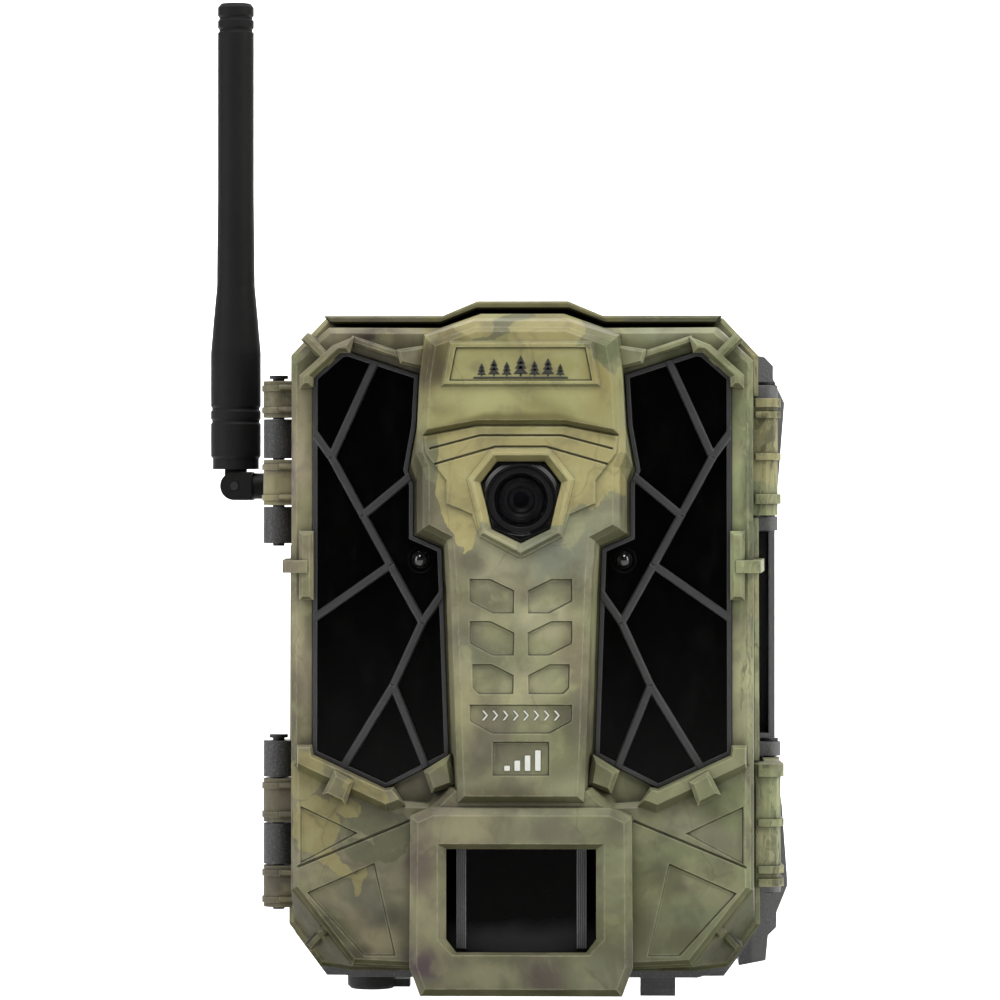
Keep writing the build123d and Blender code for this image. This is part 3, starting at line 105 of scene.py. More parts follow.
class Shader(Nodes):
    """A material, written as expressions. Texture positions are in mm."""

    def __init__(self, name):
        self.material = bpy.data.materials.new(name)
        super().__init__(self.material)
        output = self.node("ShaderNodeOutputMaterial")
        self.surface = self.node("ShaderNodeBsdfPrincipled")
        self.put(output.inputs[0], self.surface.outputs[0])

    @cached_property
    def place(self):
        coords = self.node("ShaderNodeTexCoord").outputs["Object"]
        return self.scaled(coords, 1 / MM)

    @cached_property
    def xyz(self):
        return self.split(self.place)

    @cached_property
    def true_normal(self):
        return self.node("ShaderNodeNewGeometry").outputs["True Normal"]

    @cached_property
    def normal_xyz(self):
        """The flat face normal along the object's axes."""
        turned = self.node("ShaderNodeVectorTransform", [self.true_normal],
                           vector_type="NORMAL", convert_from="WORLD", convert_to="OBJECT")
        return self.split(turned.outputs[0])

    def split(self, vector):
        return tuple(self.node("ShaderNodeSeparateXYZ", [vector]).outputs)

    def scaled(self, vector, scale):
        inputs = {0: vector, "Scale": scale}
        return self.node("ShaderNodeVectorMath", inputs, operation="SCALE").outputs[0]

    def math(self, operation, first, second=0.0, third=0.0, clamp=False):
        inputs = [first, second, third]
        node = self.node("ShaderNodeMath", inputs, operation=operation, use_clamp=clamp)
        return node.outputs[0]

    def add(self, first, second):
        return self.math("ADD", first, second)

    def sub(self, first, second):
        return self.math("SUBTRACT", first, second)

    def mul(self, first, second):
        return self.math("MULTIPLY", first, second)

    def size(self, value):
        return self.math("ABSOLUTE", value)

    def vary(self, level, value, amount, clamp=False):
        """level + value * amount"""
        return self.math("ADD", level, self.mul(value, amount), clamp=clamp)

    def within(self, value, limit):
        return self.math("LESS_THAN", self.size(value), limit)

    def ramp(self, value, start, end):
        """Smooth 0 at start to 1 at end; start may be the larger one."""
        inputs = {"Value": value, "From Min": start, "From Max": end}
        return self.node("ShaderNodeMapRange", inputs, interpolation_type="SMOOTHSTEP").outputs[0]

    def fall(self, value, start, end):
        """Smooth 1 at start to 0 at end."""
        return self.sub(1.0, self.ramp(value, start, end))

    def mix(self, factor, first, second, blend="MIX"):
        inputs = {0: factor, 6: first, 7: second}
        return self.node("ShaderNodeMix", inputs, data_type="RGBA", blend_type=blend).outputs[2]

    def cover(self, base, colour, mask, amount):
        return self.mix(self.mul(mask, amount), base, colour)

    def noise(self, scale, detail=3.0, rough=0.5, vector=None, output=0):
        inputs = {"Vector": vector or self.place, "Scale": scale,
                  "Detail": detail, "Roughness": rough}
        return self.node("ShaderNodeTexNoise", inputs).outputs[output]

    def voronoi(self, scale, vector=None, feature="F1", randomness=1.0):
        inputs = {"Vector": vector or self.place, "Scale": scale, "Randomness": randomness}
        return self.node("ShaderNodeTexVoronoi", inputs, feature=feature).outputs[0]

    def mapped(self, vector=None, scale=(1, 1, 1), offset=(0, 0, 0)):
        inputs = {"Vector": vector or self.place, "Location": offset, "Scale": scale}
        return self.node("ShaderNodeMapping", inputs).outputs[0]

    def warp(self, vector, scale, amount):
        """Push positions about by a colour noise."""
        colour = self.noise(scale, detail=2.0, vector=vector, output=1)
        centred = self.node("ShaderNodeVectorMath", [colour, (0.5, 0.5, 0.5)],
                            operation="SUBTRACT").outputs[0]
        return self.node("ShaderNodeVectorMath", [vector, self.scaled(centred, amount)],
                         operation="ADD").outputs[0]

    def bump(self, height, strength, distance, normal=None):
        inputs = {"Height": height, "Strength": strength, "Distance": distance * MM}
        if normal is not None:
            inputs["Normal"] = normal
        return self.node("ShaderNodeBump", inputs).outputs[0]

    def rounded(self, radius):
        """Normal with softened edges."""
        return self.node("ShaderNodeBevel", {"Radius": radius * MM}, samples=4).outputs[0]

    def edge_mask(self, rounded, start, end):
        """Mask of sharp edges: where the rounded normal leaves the flat one."""
        along = self.node("ShaderNodeVectorMath", [rounded, self.true_normal],
                          operation="DOT_PRODUCT").outputs["Value"]
        return self.ramp(self.sub(1.0, along), start, end)

    def crease(self, distance):
        inputs = {"Distance": distance * MM}
        return self.node("ShaderNodeAmbientOcclusion", inputs, samples=6).outputs["AO"]

    def done(self, colour, rough, normal, metallic=0.0, **others):
        others.update(Base_Color=colour, Roughness=rough, Normal=normal, Metallic=metallic)
        for key, value in others.items():
            self.put(self.surface.inputs[key.replace("_", " ")], value)
        return self.material


def rgb(*channels):
    """sRGB 0-255 to linear colour."""
    linear = []
    for value in channels:
        value = value / 255.0
        linear.append(value / 12.92 if value <= 0.04045 else ((value + 0.055) / 1.055) ** 2.4)
    return (*linear, 1.0)


def shade(colour, gain, lift=0.0):
    return (*(min(1.0, value * gain + lift) for value in colour[:3]), 1.0)


# ------------------------------------------------------------- camouflage
# Crisp patches of the front: centre X, Z, half sizes X, Z, turn in degrees.
KHAKI_CRISP = [
    (-9.6, 132.8, 4.3, 2.6, 18), (5, 131.2, 7.4, 3.9, -4), (-35.2, 25.8, 3.4, 1.3, 35),
    (-31.9, 23.4, 0.9, 3, 20), (-38.5, 28.6, 3.4, 1.6, 30), (-42.6, 44.5, 3.6, 5, 20),
    (-40.6, 34.5, 4.8, 5.6, 0), (-34.6, 38.4, 3.2, 1.8, 20), (-30.5, 41.4, 5, 1.8, 25),
]
GREY_CRISP = [
    (-3.4, 132.7, 6.6, 2, -27), (15.2, 131, 4.8, 3.4, 35), (10.6, 129.8, 2.6, 1.3, 0),
    (17.8, 126.2, 2, 3, 0), (-28.5, 35.5, 6, 3.4, 25), (-25.4, 32, 3.6, 5, 20),
    (-31.6, 29.5, 4, 2.2, 30), (19.6, 62, 2, 5, 0), (-16.8, 105.5, 2.2, 4, 0),
]
LEAF_CRISP = [
    (16.6, 127.4, 2.7, 2.7, 25), (-45.5, 126, 2.4, 2, 30), (40.5, 126.5, 2.6, 1.8, -30),
]
# Lower edge of the big khaki patch: X, Z.
DRIPS = [
    (-21, 116), (-18, 114), (-16.4, 111), (-15.9, 99), (-15.3, 95), (-13.6, 92.6),
    (-12.6, 90.2), (-10.9, 88.2), (-9.4, 88.9), (-8.9, 91.6), (-7.8, 94.4), (-6, 93),
    (0, 93.6), (6.6, 93.4), (8.4, 94.2), (9.7, 96.6), (11.6, 97.8), (13.4, 96.8),
    (14.8, 97.4), (16.2, 99.4), (18.4, 99.9), (21, 99),
]
# The square of the drip curve covers this width about X = 0 and this range of Z.
DRIP_WIDTH, DRIP_BOTTOM, DRIP_RANGE = 42.0, 80.0, 40.0
# Soft patches: centre X, Z, half sizes X, Z, turn in degrees, colour, strength.
SOFT = [
    (-18.7, 99.5, 2.4, 9.5, 0, (98, 93, 80), 0.7),
    (-16.2, 91, 3.6, 3, 0, (106, 102, 82), 0.5),
    (14, 93, 5, 3.4, 0, (118, 122, 96), 0.6),
    (-17.2, 124.5, 3, 7, 8, (96, 84, 52), 0.75),
    (-13.2, 118.6, 4.6, 2.6, -20, (112, 100, 58), 0.7),
    (-14.4, 131, 4.4, 1.9, 25, (120, 106, 60), 0.6),
    (14.8, 121.5, 3.2, 4.6, 0, (146, 130, 72), 0.55),
    (-9, 119, 9, 3.4, 0, (160, 157, 99), 0.6),
    (4, 118.6, 6, 2.2, 30, (120, 112, 64), 0.5),
    (9, 119.6, 6, 3, 0, (158, 156, 98), 0.55),
    (-29, 130.8, 4, 1.8, 0, (84, 72, 66), 0.75),
    (-24.5, 129.6, 3.4, 1.8, 0, (96, 88, 66), 0.6),
    (30, 131.5, 9, 1.8, 0, (146, 150, 118), 0.55),
    (6, 88, 6.5, 5, 0, (112, 116, 98), 0.75),
    (-5, 86, 6, 3.6, 0, (142, 140, 108), 0.45),
    (-10.6, 71.5, 3, 3.6, 0, (98, 94, 80), 0.5),
    (-9.6, 86.6, 3, 2.6, 0, (92, 88, 74), 0.6),
    (-5.5, 78.6, 3.4, 2.2, 0, (98, 94, 78), 0.5),
    (9.8, 80, 3.4, 2.6, 0, (100, 98, 80), 0.5),
    (4.5, 75, 5, 3, 0, (150, 148, 116), 0.5),
    (10.5, 68, 3.4, 6, 0, (116, 104, 84), 0.55),
    (-6, 68, 5, 3, 0, (102, 104, 84), 0.5),
    (0, 61, 6, 3, 0, (144, 142, 104), 0.45),
    (0.8, 49.5, 4, 2.4, 0, (96, 92, 78), 0.4),
    (-10.5, 57, 3, 6, 10, (142, 138, 96), 0.5),
    (11, 55, 3.4, 4.6, 0, (104, 98, 82), 0.55),
    (-3, 40.6, 8.5, 2.6, 0, (98, 92, 66), 0.55),
    (10, 42, 5, 2.4, 0, (150, 150, 110), 0.5),
    (-10, 35, 5.5, 3.4, 0, (150, 146, 106), 0.6),
    (6, 34, 7, 2.6, 0, (118, 112, 92), 0.5),
    (-20, 27.5, 2.6, 5, 0, (104, 88, 88), 0.65),
    (-18.8, 8, 4, 2.8, 20, (104, 86, 92), 0.75),
    (-6, 5.6, 7, 2.6, 0, (150, 146, 108), 0.55),
    (5, 5.4, 4, 3, 0, (112, 98, 92), 0.6),
    (15, 6, 5.5, 3, 0, (138, 140, 108), 0.5),
    (-26, 15, 4, 3.5, 25, (96, 94, 78), 0.6),
    (-31, 21, 4.5, 3, 30, (112, 112, 92), 0.6),
    (-28, 11.8, 4.5, 2.4, 0, (152, 142, 104), 0.6),
    (-37.5, 14.5, 4.5, 3, 40, (74, 72, 54), 0.65),
    (-33, 9.4, 3, 1.6, 0, (70, 60, 52), 0.6),
    (28.5, 24, 3.6, 3.4, 0, (108, 110, 78), 0.6),
    (34.5, 17.5, 4, 3.6, 0, (122, 130, 92), 0.5),
    (31, 12, 4, 2.4, 0, (112, 108, 78), 0.55),
    (33, 34.5, 6, 3, 20, (142, 140, 110), 0.55),
    (22.6, 20, 1.8, 9, 0, (118, 122, 78), 0.6),
    (39, 30.5, 3.4, 3, 0, (124, 120, 98), 0.5),
    (-45.8, 105, 1.3, 12, 0, (112, 92, 96), 0.65),
    (-43.6, 112, 1.2, 9, 0, (146, 136, 108), 0.5),
    (-45.5, 60, 1.6, 9, 0, (92, 82, 74), 0.55),
    (-44.2, 72, 1.3, 6, 0, (150, 142, 108), 0.55),
    (45.2, 100, 1.5, 14, 0, (78, 86, 64), 0.55),
    (44, 64, 1.5, 9, 0, (146, 146, 104), 0.45),
    (-41, 40.4, 3.4, 1.8, -25, (112, 94, 84), 0.55),
    (24, 42.6, 3.6, 2, 20, (122, 124, 88), 0.55),
]
# Adjustments to SOFT: sizes and strengths grow, contrast rises about a middle grey.
SOFT_GROW, SOFT_POWER = 1.25, 1.30
SOFT_GREY, SOFT_CONTRAST, SOFT_GAIN, SOFT_SATURATION, SOFT_DARKEST = 114.0, 1.55, 0.96, 0.85, 24.0
# Base blotches: noise scale, detail, roughness, offset, ramp start, end, amount, colour.
BLOTCHES = [
    (0.060, 3, 0.55, None, 0.46, 0.64, 0.50, (94, 97, 62)),
    (0.085, 2, 0.50, (31, 7, 12), 0.47, 0.65, 0.55, (92, 83, 75)),
    (0.075, 2, 0.50, (-11, 17, 42), 0.50, 0.66, 0.50, (152, 148, 118)),
]
# Painted shade by height: Z as a part of the height below, brightness factor.
SHADE_HEIGHT = 140.0
FRONT_SHADE_LEVELS = [(0.02, 0.40), (0.16, 0.54), (0.31, 0.55), (0.46, 0.80), (0.72, 0.84),
               (0.82, 0.66), (1.0, 0.66)]
LATCH_SHADE_LEVELS = [(0.02, 0.60), (0.16, 0.80), (0.31, 0.84), (0.46, 0.86), (0.72, 0.84),
               (0.82, 0.72), (1.0, 0.70)]


def patch_distance(mat, vector, x, z, half_x, half_z, turn):
    """Distance from a patch centre: 1 on its outline. Depth is ignored."""
    inputs = {"Vector": vector, "Location": (x, 0, z), "Rotation": (0, math.radians(turn), 0),
              "Scale": (half_x, 1e4, half_z)}
    local = mat.node("ShaderNodeMapping", inputs, vector_type="TEXTURE").outputs[0]
    return mat.node("ShaderNodeVectorMath", [local], operation="LENGTH").outputs["Value"]


def crisp_mask(mat, vector, rows, outside=1.04):
    nearest, *rest = [patch_distance(mat, vector, *row) for row in rows]
    for distance in rest:
        nearest = mat.math("MINIMUM", nearest, distance)
    return mat.ramp(nearest, outside, 0.97)


def drip_mask(mat, origin):
    """The area above the drip curve, between the sides and below the brow."""
    x, _, z = mat.xyz
    squeezed = mat.mapped(origin, scale=(1, 1, 0.8))
    wavy_x = mat.split(mat.warp(squeezed, scale=0.22, amount=3.2))[0]
    ragged = mat.sub(mat.noise(0.45, rough=0.6, vector=origin), 0.5)
    wavy_z = mat.vary(z, ragged, amount=4.0)
    position = mat.math("MULTIPLY_ADD", wavy_x, 1.0 / DRIP_WIDTH, 0.5)
    curve = mat.node("ShaderNodeFloatCurve", {"Value": position})
    line = curve.mapping.curves[0]
    stations = [(px / DRIP_WIDTH + 0.5, (pz - DRIP_BOTTOM) / DRIP_RANGE) for px, pz in DRIPS]
    line.points[0].location = stations[0]
    for station in stations[1:-1]:
        line.points.new(*station)
    # The last station goes to point 1 of the filled curve.
    line.points[1].location = stations[-1]
    for point in line.points:
        point.handle_type = "VECTOR"
    curve.mapping.update()
    edge_z = mat.math("MULTIPLY_ADD", curve.outputs[0], DRIP_RANGE, DRIP_BOTTOM)
    above = mat.ramp(mat.sub(wavy_z, edge_z), 0.0, 0.22)
    mask = mat.mul(above, mat.ramp(mat.size(x), 20.6, 20.3))
    return mat.mul(mask, mat.ramp(z, 113.0, 111.5))


def front_patches(mat, base, origin):
    """Warm head, then the placed soft and crisp patches."""
    x, _, z = mat.xyz
    head = mat.mul(mat.ramp(z, 108.0, 114.0), mat.ramp(mat.size(x), 21.0, 18.5))
    base = mat.cover(base, rgb(152, 146, 88), head, amount=0.62)
    soft = mat.warp(origin, scale=0.11, amount=3.0)
    for px, pz, half_x, half_z, turn, colour, power in SOFT:
        distance = patch_distance(
            mat, soft, px, pz, half_x * SOFT_GROW, half_z * SOFT_GROW, turn)
        level = sum(colour) / 3.0
        grey = SOFT_GAIN * (SOFT_GREY + SOFT_CONTRAST * (level - SOFT_GREY))
        strong = [max(SOFT_DARKEST, grey + SOFT_SATURATION * (c - level)) for c in colour]
        base = mat.cover(base, rgb(*strong), mat.ramp(distance, 1.30, 0.30),
                         amount=min(1.0, power * SOFT_POWER))
    crisp = mat.warp(mat.warp(origin, scale=0.9, amount=0.8), scale=0.30, amount=2.6)
    grey = crisp_mask(mat, crisp, GREY_CRISP, outside=1.05)
    base = mat.cover(base, rgb(100, 100, 76), grey, amount=0.85)
    khaki = crisp_mask(mat, crisp, KHAKI_CRISP)
    khaki = mat.math("MAXIMUM", khaki, drip_mask(mat, origin))
    base = mat.cover(base, rgb(150, 141, 94), khaki, amount=0.86)
    leaf = crisp_mask(mat, crisp, LEAF_CRISP)
    return mat.cover(base, rgb(94, 102, 68), leaf, amount=0.85)


def free_pattern(mat, base, broad, tight, free):
    """Blotches everywhere; islands and leaf shapes, strongest where free is 1."""
    blot = mat.noise(0.13, rough=0.55, vector=mat.mapped(broad, offset=(61, -23, 8)))
    base = mat.cover(base, rgb(76, 72, 58), mat.ramp(blot, 0.50, 0.66), amount=0.34)
    base = mat.cover(base, rgb(160, 160, 118), mat.fall(blot, 0.34, 0.46), amount=0.30)
    islands = mat.noise(0.042, vector=mat.mapped(tight, offset=(5, 3, 77)))
    leaves = mat.noise(0.055, detail=4, rough=0.55, vector=mat.mapped(tight, offset=(90, 13, 4)))
    # Field, ramp start, end, amount everywhere, amount added where free, colour.
    for field, start, end, least, more, colour in (
            (islands, 0.545, 0.565, 0.10, 0.65, (152, 146, 104)),
            (leaves, 0.575, 0.59, 0.10, 0.45, (92, 90, 62)),
            (leaves, 0.605, 0.62, 0.08, 0.55, (66, 62, 44))):
        amount = mat.vary(least, free, more)
        base = mat.cover(base, rgb(*colour), mat.ramp(field, start, end), amount)
    return base


def twigs(mat, base, origin, tight):
    """Faint thin twigs, present in places only."""
    cells = mat.voronoi(0.085, mat.mapped(tight, scale=(1, 1, 0.55)), "DISTANCE_TO_EDGE")
    thin = mat.fall(cells, 0.004, 0.022)
    gate = mat.noise(0.05, detail=2, vector=mat.mapped(origin, offset=(3, 44, 9)))
    mask = mat.mul(thin, mat.ramp(gate, 0.5, 0.6))
    return mat.cover(base, rgb(84, 78, 54), mask, amount=0.26)


def bark_streaks(mat, base, tight, bark, front):
    """Streaks long in Z, mostly on the flanks."""
    x = mat.xyz[0]
    streak = mat.noise(0.9, detail=4, rough=0.65, vector=mat.mapped(tight, scale=(1, 0.8, 0.1)))
    sideways = mat.ramp(mat.size(mat.normal_xyz[0]), 0.45, 0.9)
    outer = mat.mul(mat.ramp(mat.size(x), 42.6, 44.2), 0.55)
    flank = mat.mul(mat.math("MAXIMUM", sideways, outer), bark)
    rim = mat.add(flank, bark * 0.12)
    if front:
        latch_side = mat.mul(mat.ramp(x, 42.6, 43.4), 0.62)
        rim = mat.math("MAXIMUM", rim, latch_side)
    base = mat.cover(base, rgb(62, 62, 46), mat.ramp(streak, 0.53, 0.66), rim)
    pale = mat.fall(streak, 0.33, 0.45)
    return mat.cover(base, rgb(160, 158, 122), pale, mat.mul(rim, 0.7))


def brow_shade(mat, base, from_middle):
    """Painted shade: a dark soft band over the brow, level in the middle, sloping down outside
    it.
    """
    z = mat.xyz[2]
    middle_z, middle_half, slope = 114.4, 7.0, 0.30
    outside = mat.math("MAXIMUM", mat.sub(from_middle, middle_half), 0.0)
    height = mat.sub(z, mat.sub(middle_z, mat.mul(outside, slope)))
    band = mat.fall(mat.size(height), 0.3, 1.7)
    band = mat.mul(band, mat.ramp(from_middle, 19.6, 17.6))
    return mat.cover(base, rgb(92, 84, 44), band, amount=0.72)


def bare_inside(mat, base):
    """The print ends at the seam: bare moulding inside the cover."""
    x, y, z = mat.xyz
    normal_x, normal_y, normal_z = mat.normal_xyz
    middle_z = 68.0
    outward = mat.add(mat.mul(normal_x, x), mat.mul(normal_z, mat.sub(z, middle_z)))
    inner = mat.math("MAXIMUM", mat.ramp(normal_y, 0.4, 0.6), mat.ramp(outward, 0.0, -0.5))
    region = mat.mul(mat.ramp(y, -46.9, -46.5), mat.ramp(mat.size(x), 44.9, 44.6))
    cloud = mat.noise(0.2, detail=4, rough=0.6)
    bare = mat.mix(cloud, rgb(58, 58, 46), rgb(74, 73, 58))
    return mat.mix(mat.mul(inner, region), base, bare)


# Painted shade: the colour is multiplied by a brightness factor that changes with height.
def painted_height_shade(mat, base, shade_levels):
    tone = mat.node("ShaderNodeValToRGB", [mat.mul(mat.xyz[2], 1.0 / SHADE_HEIGHT)])
    ramp = tone.color_ramp
    ramp.interpolation = "EASE"
    for k, (position, level) in enumerate(shade_levels):
        # A new ramp already holds two stops.
        stop = ramp.elements[k] if k < 2 else ramp.elements.new(position)
        stop.position = position
        stop.color = (level, level, level, 1.0)
    return mat.mix(1.0, base, tone.outputs[0], blend="MULTIPLY")


def pocket_wall_shade(mat, base, from_middle):
    """Painted shade on the walls of the shallow pockets, least on the lit side."""
    x, y, z = mat.xyz
    normal_x, normal_y, normal_z = mat.normal_xyz
    # Cheek pockets lie in pairs: the centre at X 39, Z 33, and for the lower pair 33, 17.
    low = mat.math("LESS_THAN", z, 27.0)
    centre_z = mat.math("MULTIPLY_ADD", low, -16.0, 33.0)
    centre_x = mat.math("MULTIPLY_ADD", low, -6.0, 39.0)
    away_x = mat.sub(from_middle, centre_x)
    toward_x = mat.mul(mat.mul(normal_x, mat.math("SIGN", x)), away_x)
    toward = mat.add(toward_x, mat.mul(normal_z, mat.sub(z, centre_z)))
    # Each wall is a thin slab about its depth: Y -52.76 and Y -59.21.
    cheek_slab = mat.mul(mat.within(mat.add(y, 52.76), 0.215), mat.math("LESS_THAN", z, 39.0))
    cheek = mat.mul(mat.ramp(toward, -0.05, -0.6), cheek_slab)
    spine_area = mat.mul(mat.math("LESS_THAN", from_middle, 10.4),
                         mat.within(mat.sub(z, 64.0), 20.0))
    spine = mat.mul(mat.within(mat.add(y, 59.21), 0.25), spine_area)
    steep = mat.ramp(mat.size(normal_y), 0.97, 0.90)
    wall = mat.mul(mat.math("MAXIMUM", cheek, spine), steep)
    tilt = mat.add(mat.mul(normal_x, -0.35), mat.mul(normal_z, 0.20))
    return mat.cover(base, rgb(22, 21, 12), wall, mat.math("ADD", 0.55, tilt, clamp=True))


def visor_shade(mat, base):
    """The rain visor is darker than the faces below it."""
    _, y, z = mat.xyz
    visor = mat.mul(mat.ramp(z, 133.3, 133.6), mat.ramp(y, -41.6, -42.2))
    return mat.cover(base, rgb(44, 44, 30), visor, mat.mul(mat.ramp(y, -44.0, -43.2), 0.45))


def dust_shade_wear_and_highlight(mat, base, rounded):
    """Dust and painted shade in fine lines, then in wider creases; rubbed edges, paler partly as
    a painted highlight.
    """
    fine = mat.fall(mat.crease(0.5), 0.45, 0.85)
    base = mat.cover(base, rgb(38, 36, 22), fine, amount=0.70)
    open_sky = mat.crease(2.6)
    base = mat.cover(base, rgb(34, 32, 20), mat.fall(open_sky, 0.20, 0.92), amount=0.62)
    # Pale edges: wear, and a painted highlight where the edges catch the light.
    edges = mat.edge_mask(rounded, 0.012, 0.11)
    broken = mat.ramp(mat.noise(0.5, detail=4, rough=0.6), 0.35, 0.62)
    worn_and_lit = mat.mul(edges, mat.vary(0.35, broken, amount=0.65))
    worn_and_lit = mat.mul(worn_and_lit, mat.ramp(open_sky, 0.62, 0.90))
    return mat.cover(base, rgb(186, 184, 148), worn_and_lit, amount=0.36)


def camo(name, bark, seed=0.0, front=True):
    """Dipped camouflage print: soft olive, taupe and khaki blotches, a few
    crisp patches, thin twigs, streaks of bark, satin grain and rubbed edges.
    Painted light and shade too: a highlight on the rubbed edges, and shade by
    height, on undersides, in creases, over the brow and on the pocket walls."""
    mat = Shader(name)
    x, y, z = mat.xyz
    normal_z = mat.normal_xyz[2]
    origin = mat.mapped(offset=(seed, seed * 0.7, -seed))
    broad = mat.warp(origin, scale=0.045, amount=14.0)
    tight = mat.warp(origin, scale=0.16, amount=4.5)
    # Taupe towards the hinge side, greener towards the latch side.
    base = mat.mix(mat.ramp(x, -50.0, 48.0), rgb(127, 119, 97), rgb(125, 132, 96))
    for scale, detail, rough, offset, start, end, amount, colour in BLOTCHES:
        vector = mat.mapped(broad, offset=offset) if offset else broad
        field = mat.noise(scale, detail, rough, vector)
        base = mat.cover(base, rgb(*colour), mat.ramp(field, start, end), amount)
    # The forward part carries the placed patches, the rest a free pattern.
    forward = 0.0
    if front:
        forward = mat.mul(mat.ramp(y, -22.0, -40.0), mat.ramp(z, 142.0, 140.0))
        base = front_patches(mat, base, origin)
    base = free_pattern(mat, base, broad, tight, mat.sub(1.0, forward))
    base = twigs(mat, base, origin, tight)
    base = bark_streaks(mat, base, tight, bark, front)
    # Speckle of the print: noise scale, detail, ramp start, colour.
    for scale, detail, start, colour in ((3.2, 3, 0.50, (78, 74, 56)),
                                         (5.1, 2, 0.56, (176, 172, 140))):
        speckle = mat.ramp(mat.noise(scale, detail, rough=0.7), start, 0.74)
        base = mat.cover(base, rgb(*colour), speckle, amount=0.14)
    if front:
        from_middle = mat.size(x)
        base = brow_shade(mat, base, from_middle)
        base = bare_inside(mat, base)
    # Painted shade by height.
    base = painted_height_shade(mat, base, FRONT_SHADE_LEVELS if front else LATCH_SHADE_LEVELS)
    # Painted shade: undersides are darker.
    base = mat.cover(base, rgb(46, 46, 30), mat.ramp(normal_z, -0.12, -0.62), amount=0.62)
    if front:
        base = pocket_wall_shade(mat, base, from_middle)
        base = visor_shade(mat, base)
    rounded = mat.rounded(radius=0.45)
    base = dust_shade_wear_and_highlight(mat, base, rounded)
    # Hinge barrels and the outermost hinge flank are taupe and darker.
    base = mat.cover(base, rgb(52, 46, 38), mat.ramp(x, -46.2, -47.4), amount=0.30)
    grain = mat.add(mat.mul(mat.noise(6.5, rough=0.6), 0.7), mat.mul(mat.voronoi(4.2), 0.3))
    normal = mat.bump(grain, strength=0.42, distance=0.05, normal=rounded)
    normal = mat.bump(mat.noise(0.9), strength=0.08, distance=0.12, normal=normal)
    rough = mat.vary(0.46, mat.noise(1.1, detail=4, rough=0.6), amount=0.20)
    # Undersides reflect almost nothing.
    specular = mat.sub(0.26, mat.mul(mat.ramp(normal_z, -0.05, -0.5), 0.24))
    return mat.done(base, rough, normal, Specular_IOR_Level=specular)


# --------------------------------------------------------- other materials
def plastic(name, colour, rough=0.5, grain=6.0, grain_height=0.05, tone=0.25, edge=0.35,
            spark=0.0, radius=0.3, specular=0.5, sides=False):
    """Moulded plastic: tone drift, moulded grain, a painted highlight on soft edges and painted
    shade in creases.
    """
    mat = Shader(name)
    drift = mat.noise(0.12, detail=4, rough=0.6)
    base = mat.mix(drift, shade(colour, 1.0 - tone), shade(colour, 1.0 + tone, lift=0.004))
    if sides:
        # The hinge barrels are a deeper black; the side guard is paler, a painted highlight on
        # its lit side.
        x = mat.xyz[0]
        base = mat.cover(base, rgb(6, 6, 6), mat.ramp(x, -45.8, -47.0), amount=0.60)
        base = mat.cover(base, rgb(92, 92, 92), mat.ramp(x, 46.2, 47.2), amount=0.50)
    fine = mat.noise(grain, rough=0.65)
    base = mat.cover(base, shade(colour, 2.1, lift=0.012), mat.ramp(fine, 0.5, 0.75),
                     amount=0.35 + spark)
    rounded = mat.rounded(radius)
    # Painted highlight on the edges.
    edges = mat.edge_mask(rounded, 0.02, 0.18)
    base = mat.cover(base, shade(colour, 3.0, lift=0.03), edges, edge)
    # Painted shade in the creases.
    creases = mat.fall(mat.crease(2.0), 0.3, 0.95)
    base = mat.cover(base, shade(colour, 0.35), creases, amount=0.4)
    relief = mat.vary(fine, mat.voronoi(grain * 0.55), amount=0.6)
    normal = mat.bump(relief, strength=0.5, distance=grain_height, normal=rounded)
    rough = mat.vary(rough - 0.06, mat.noise(0.8, detail=4, rough=0.6), amount=0.14)
    return mat.done(base, rough, normal, Specular_IOR_Level=specular, Coat_Roughness=0.12)


def ink(name, colour, rough=0.5, tone=0.06):
    return plastic(name, colour, rough, grain_height=0.01, tone=tone, edge=0.0)


def gloss(name, colour, rough, dust, specular=0.5, coat=0.25, glare=None):
    """Polished dark plastic with faint dust, smears and orange peel.
    A glare is (Z where it starts, Z where it is full, colour)."""
    mat = Shader(name)
    smear = mat.noise(0.25, detail=5, rough=0.65, vector=mat.mapped(scale=(1, 1, 0.4)))
    specks = mat.ramp(mat.noise(4.0, detail=2, rough=0.6), 0.70, 0.78)
    base = mat.cover(colour, rgb(150, 146, 136), specks, dust)
    smeared = shade(colour, 1.8, lift=0.002)
    base = mat.cover(base, smeared, mat.ramp(smear, 0.45, 0.75), amount=0.25)
    rounded = mat.rounded(0.2)
    # Painted highlight on the edges.
    base = mat.cover(base, rgb(90, 90, 92), mat.edge_mask(rounded, 0.03, 0.3), amount=0.12)
    if glare is not None:
        top, bottom, tint = glare
        line = mat.vary(mat.xyz[2], mat.noise(0.16, detail=2), amount=3.0)
        base = mat.cover(base, tint, mat.ramp(line, top, bottom), amount=0.9)
    rough = mat.vary(rough, mat.ramp(smear, 0.4, 0.8), amount=0.10)
    normal = mat.bump(mat.noise(0.5, detail=2), strength=0.05, distance=0.05, normal=rounded)
    return mat.done(base, rough, normal, Specular_IOR_Level=specular,
                    Coat_Weight=coat, Coat_Roughness=0.03)


def metal(name, colour, rough, along="z"):
    """Metal with fine lines along X or Z and darker blots."""
    mat = Shader(name)
    stretch = {"x": (0.15, 4.0, 4.0), "z": (4.0, 4.0, 0.15)}[along]
    line = mat.noise(1.2, rough=0.6, vector=mat.mapped(scale=stretch))
    blot = mat.noise(0.35, detail=4, rough=0.6)
    base = mat.cover(colour, shade(colour, 0.55), mat.ramp(blot, 0.45, 0.75), amount=0.3)
    base = mat.cover(base, shade(colour, 1.25), mat.ramp(line, 0.5, 0.7), amount=0.15)
    normal = mat.bump(line, strength=0.15, distance=0.02, normal=mat.rounded(0.15))
    return mat.done(base, mat.vary(rough, blot, amount=0.16), normal, metallic=1.0)


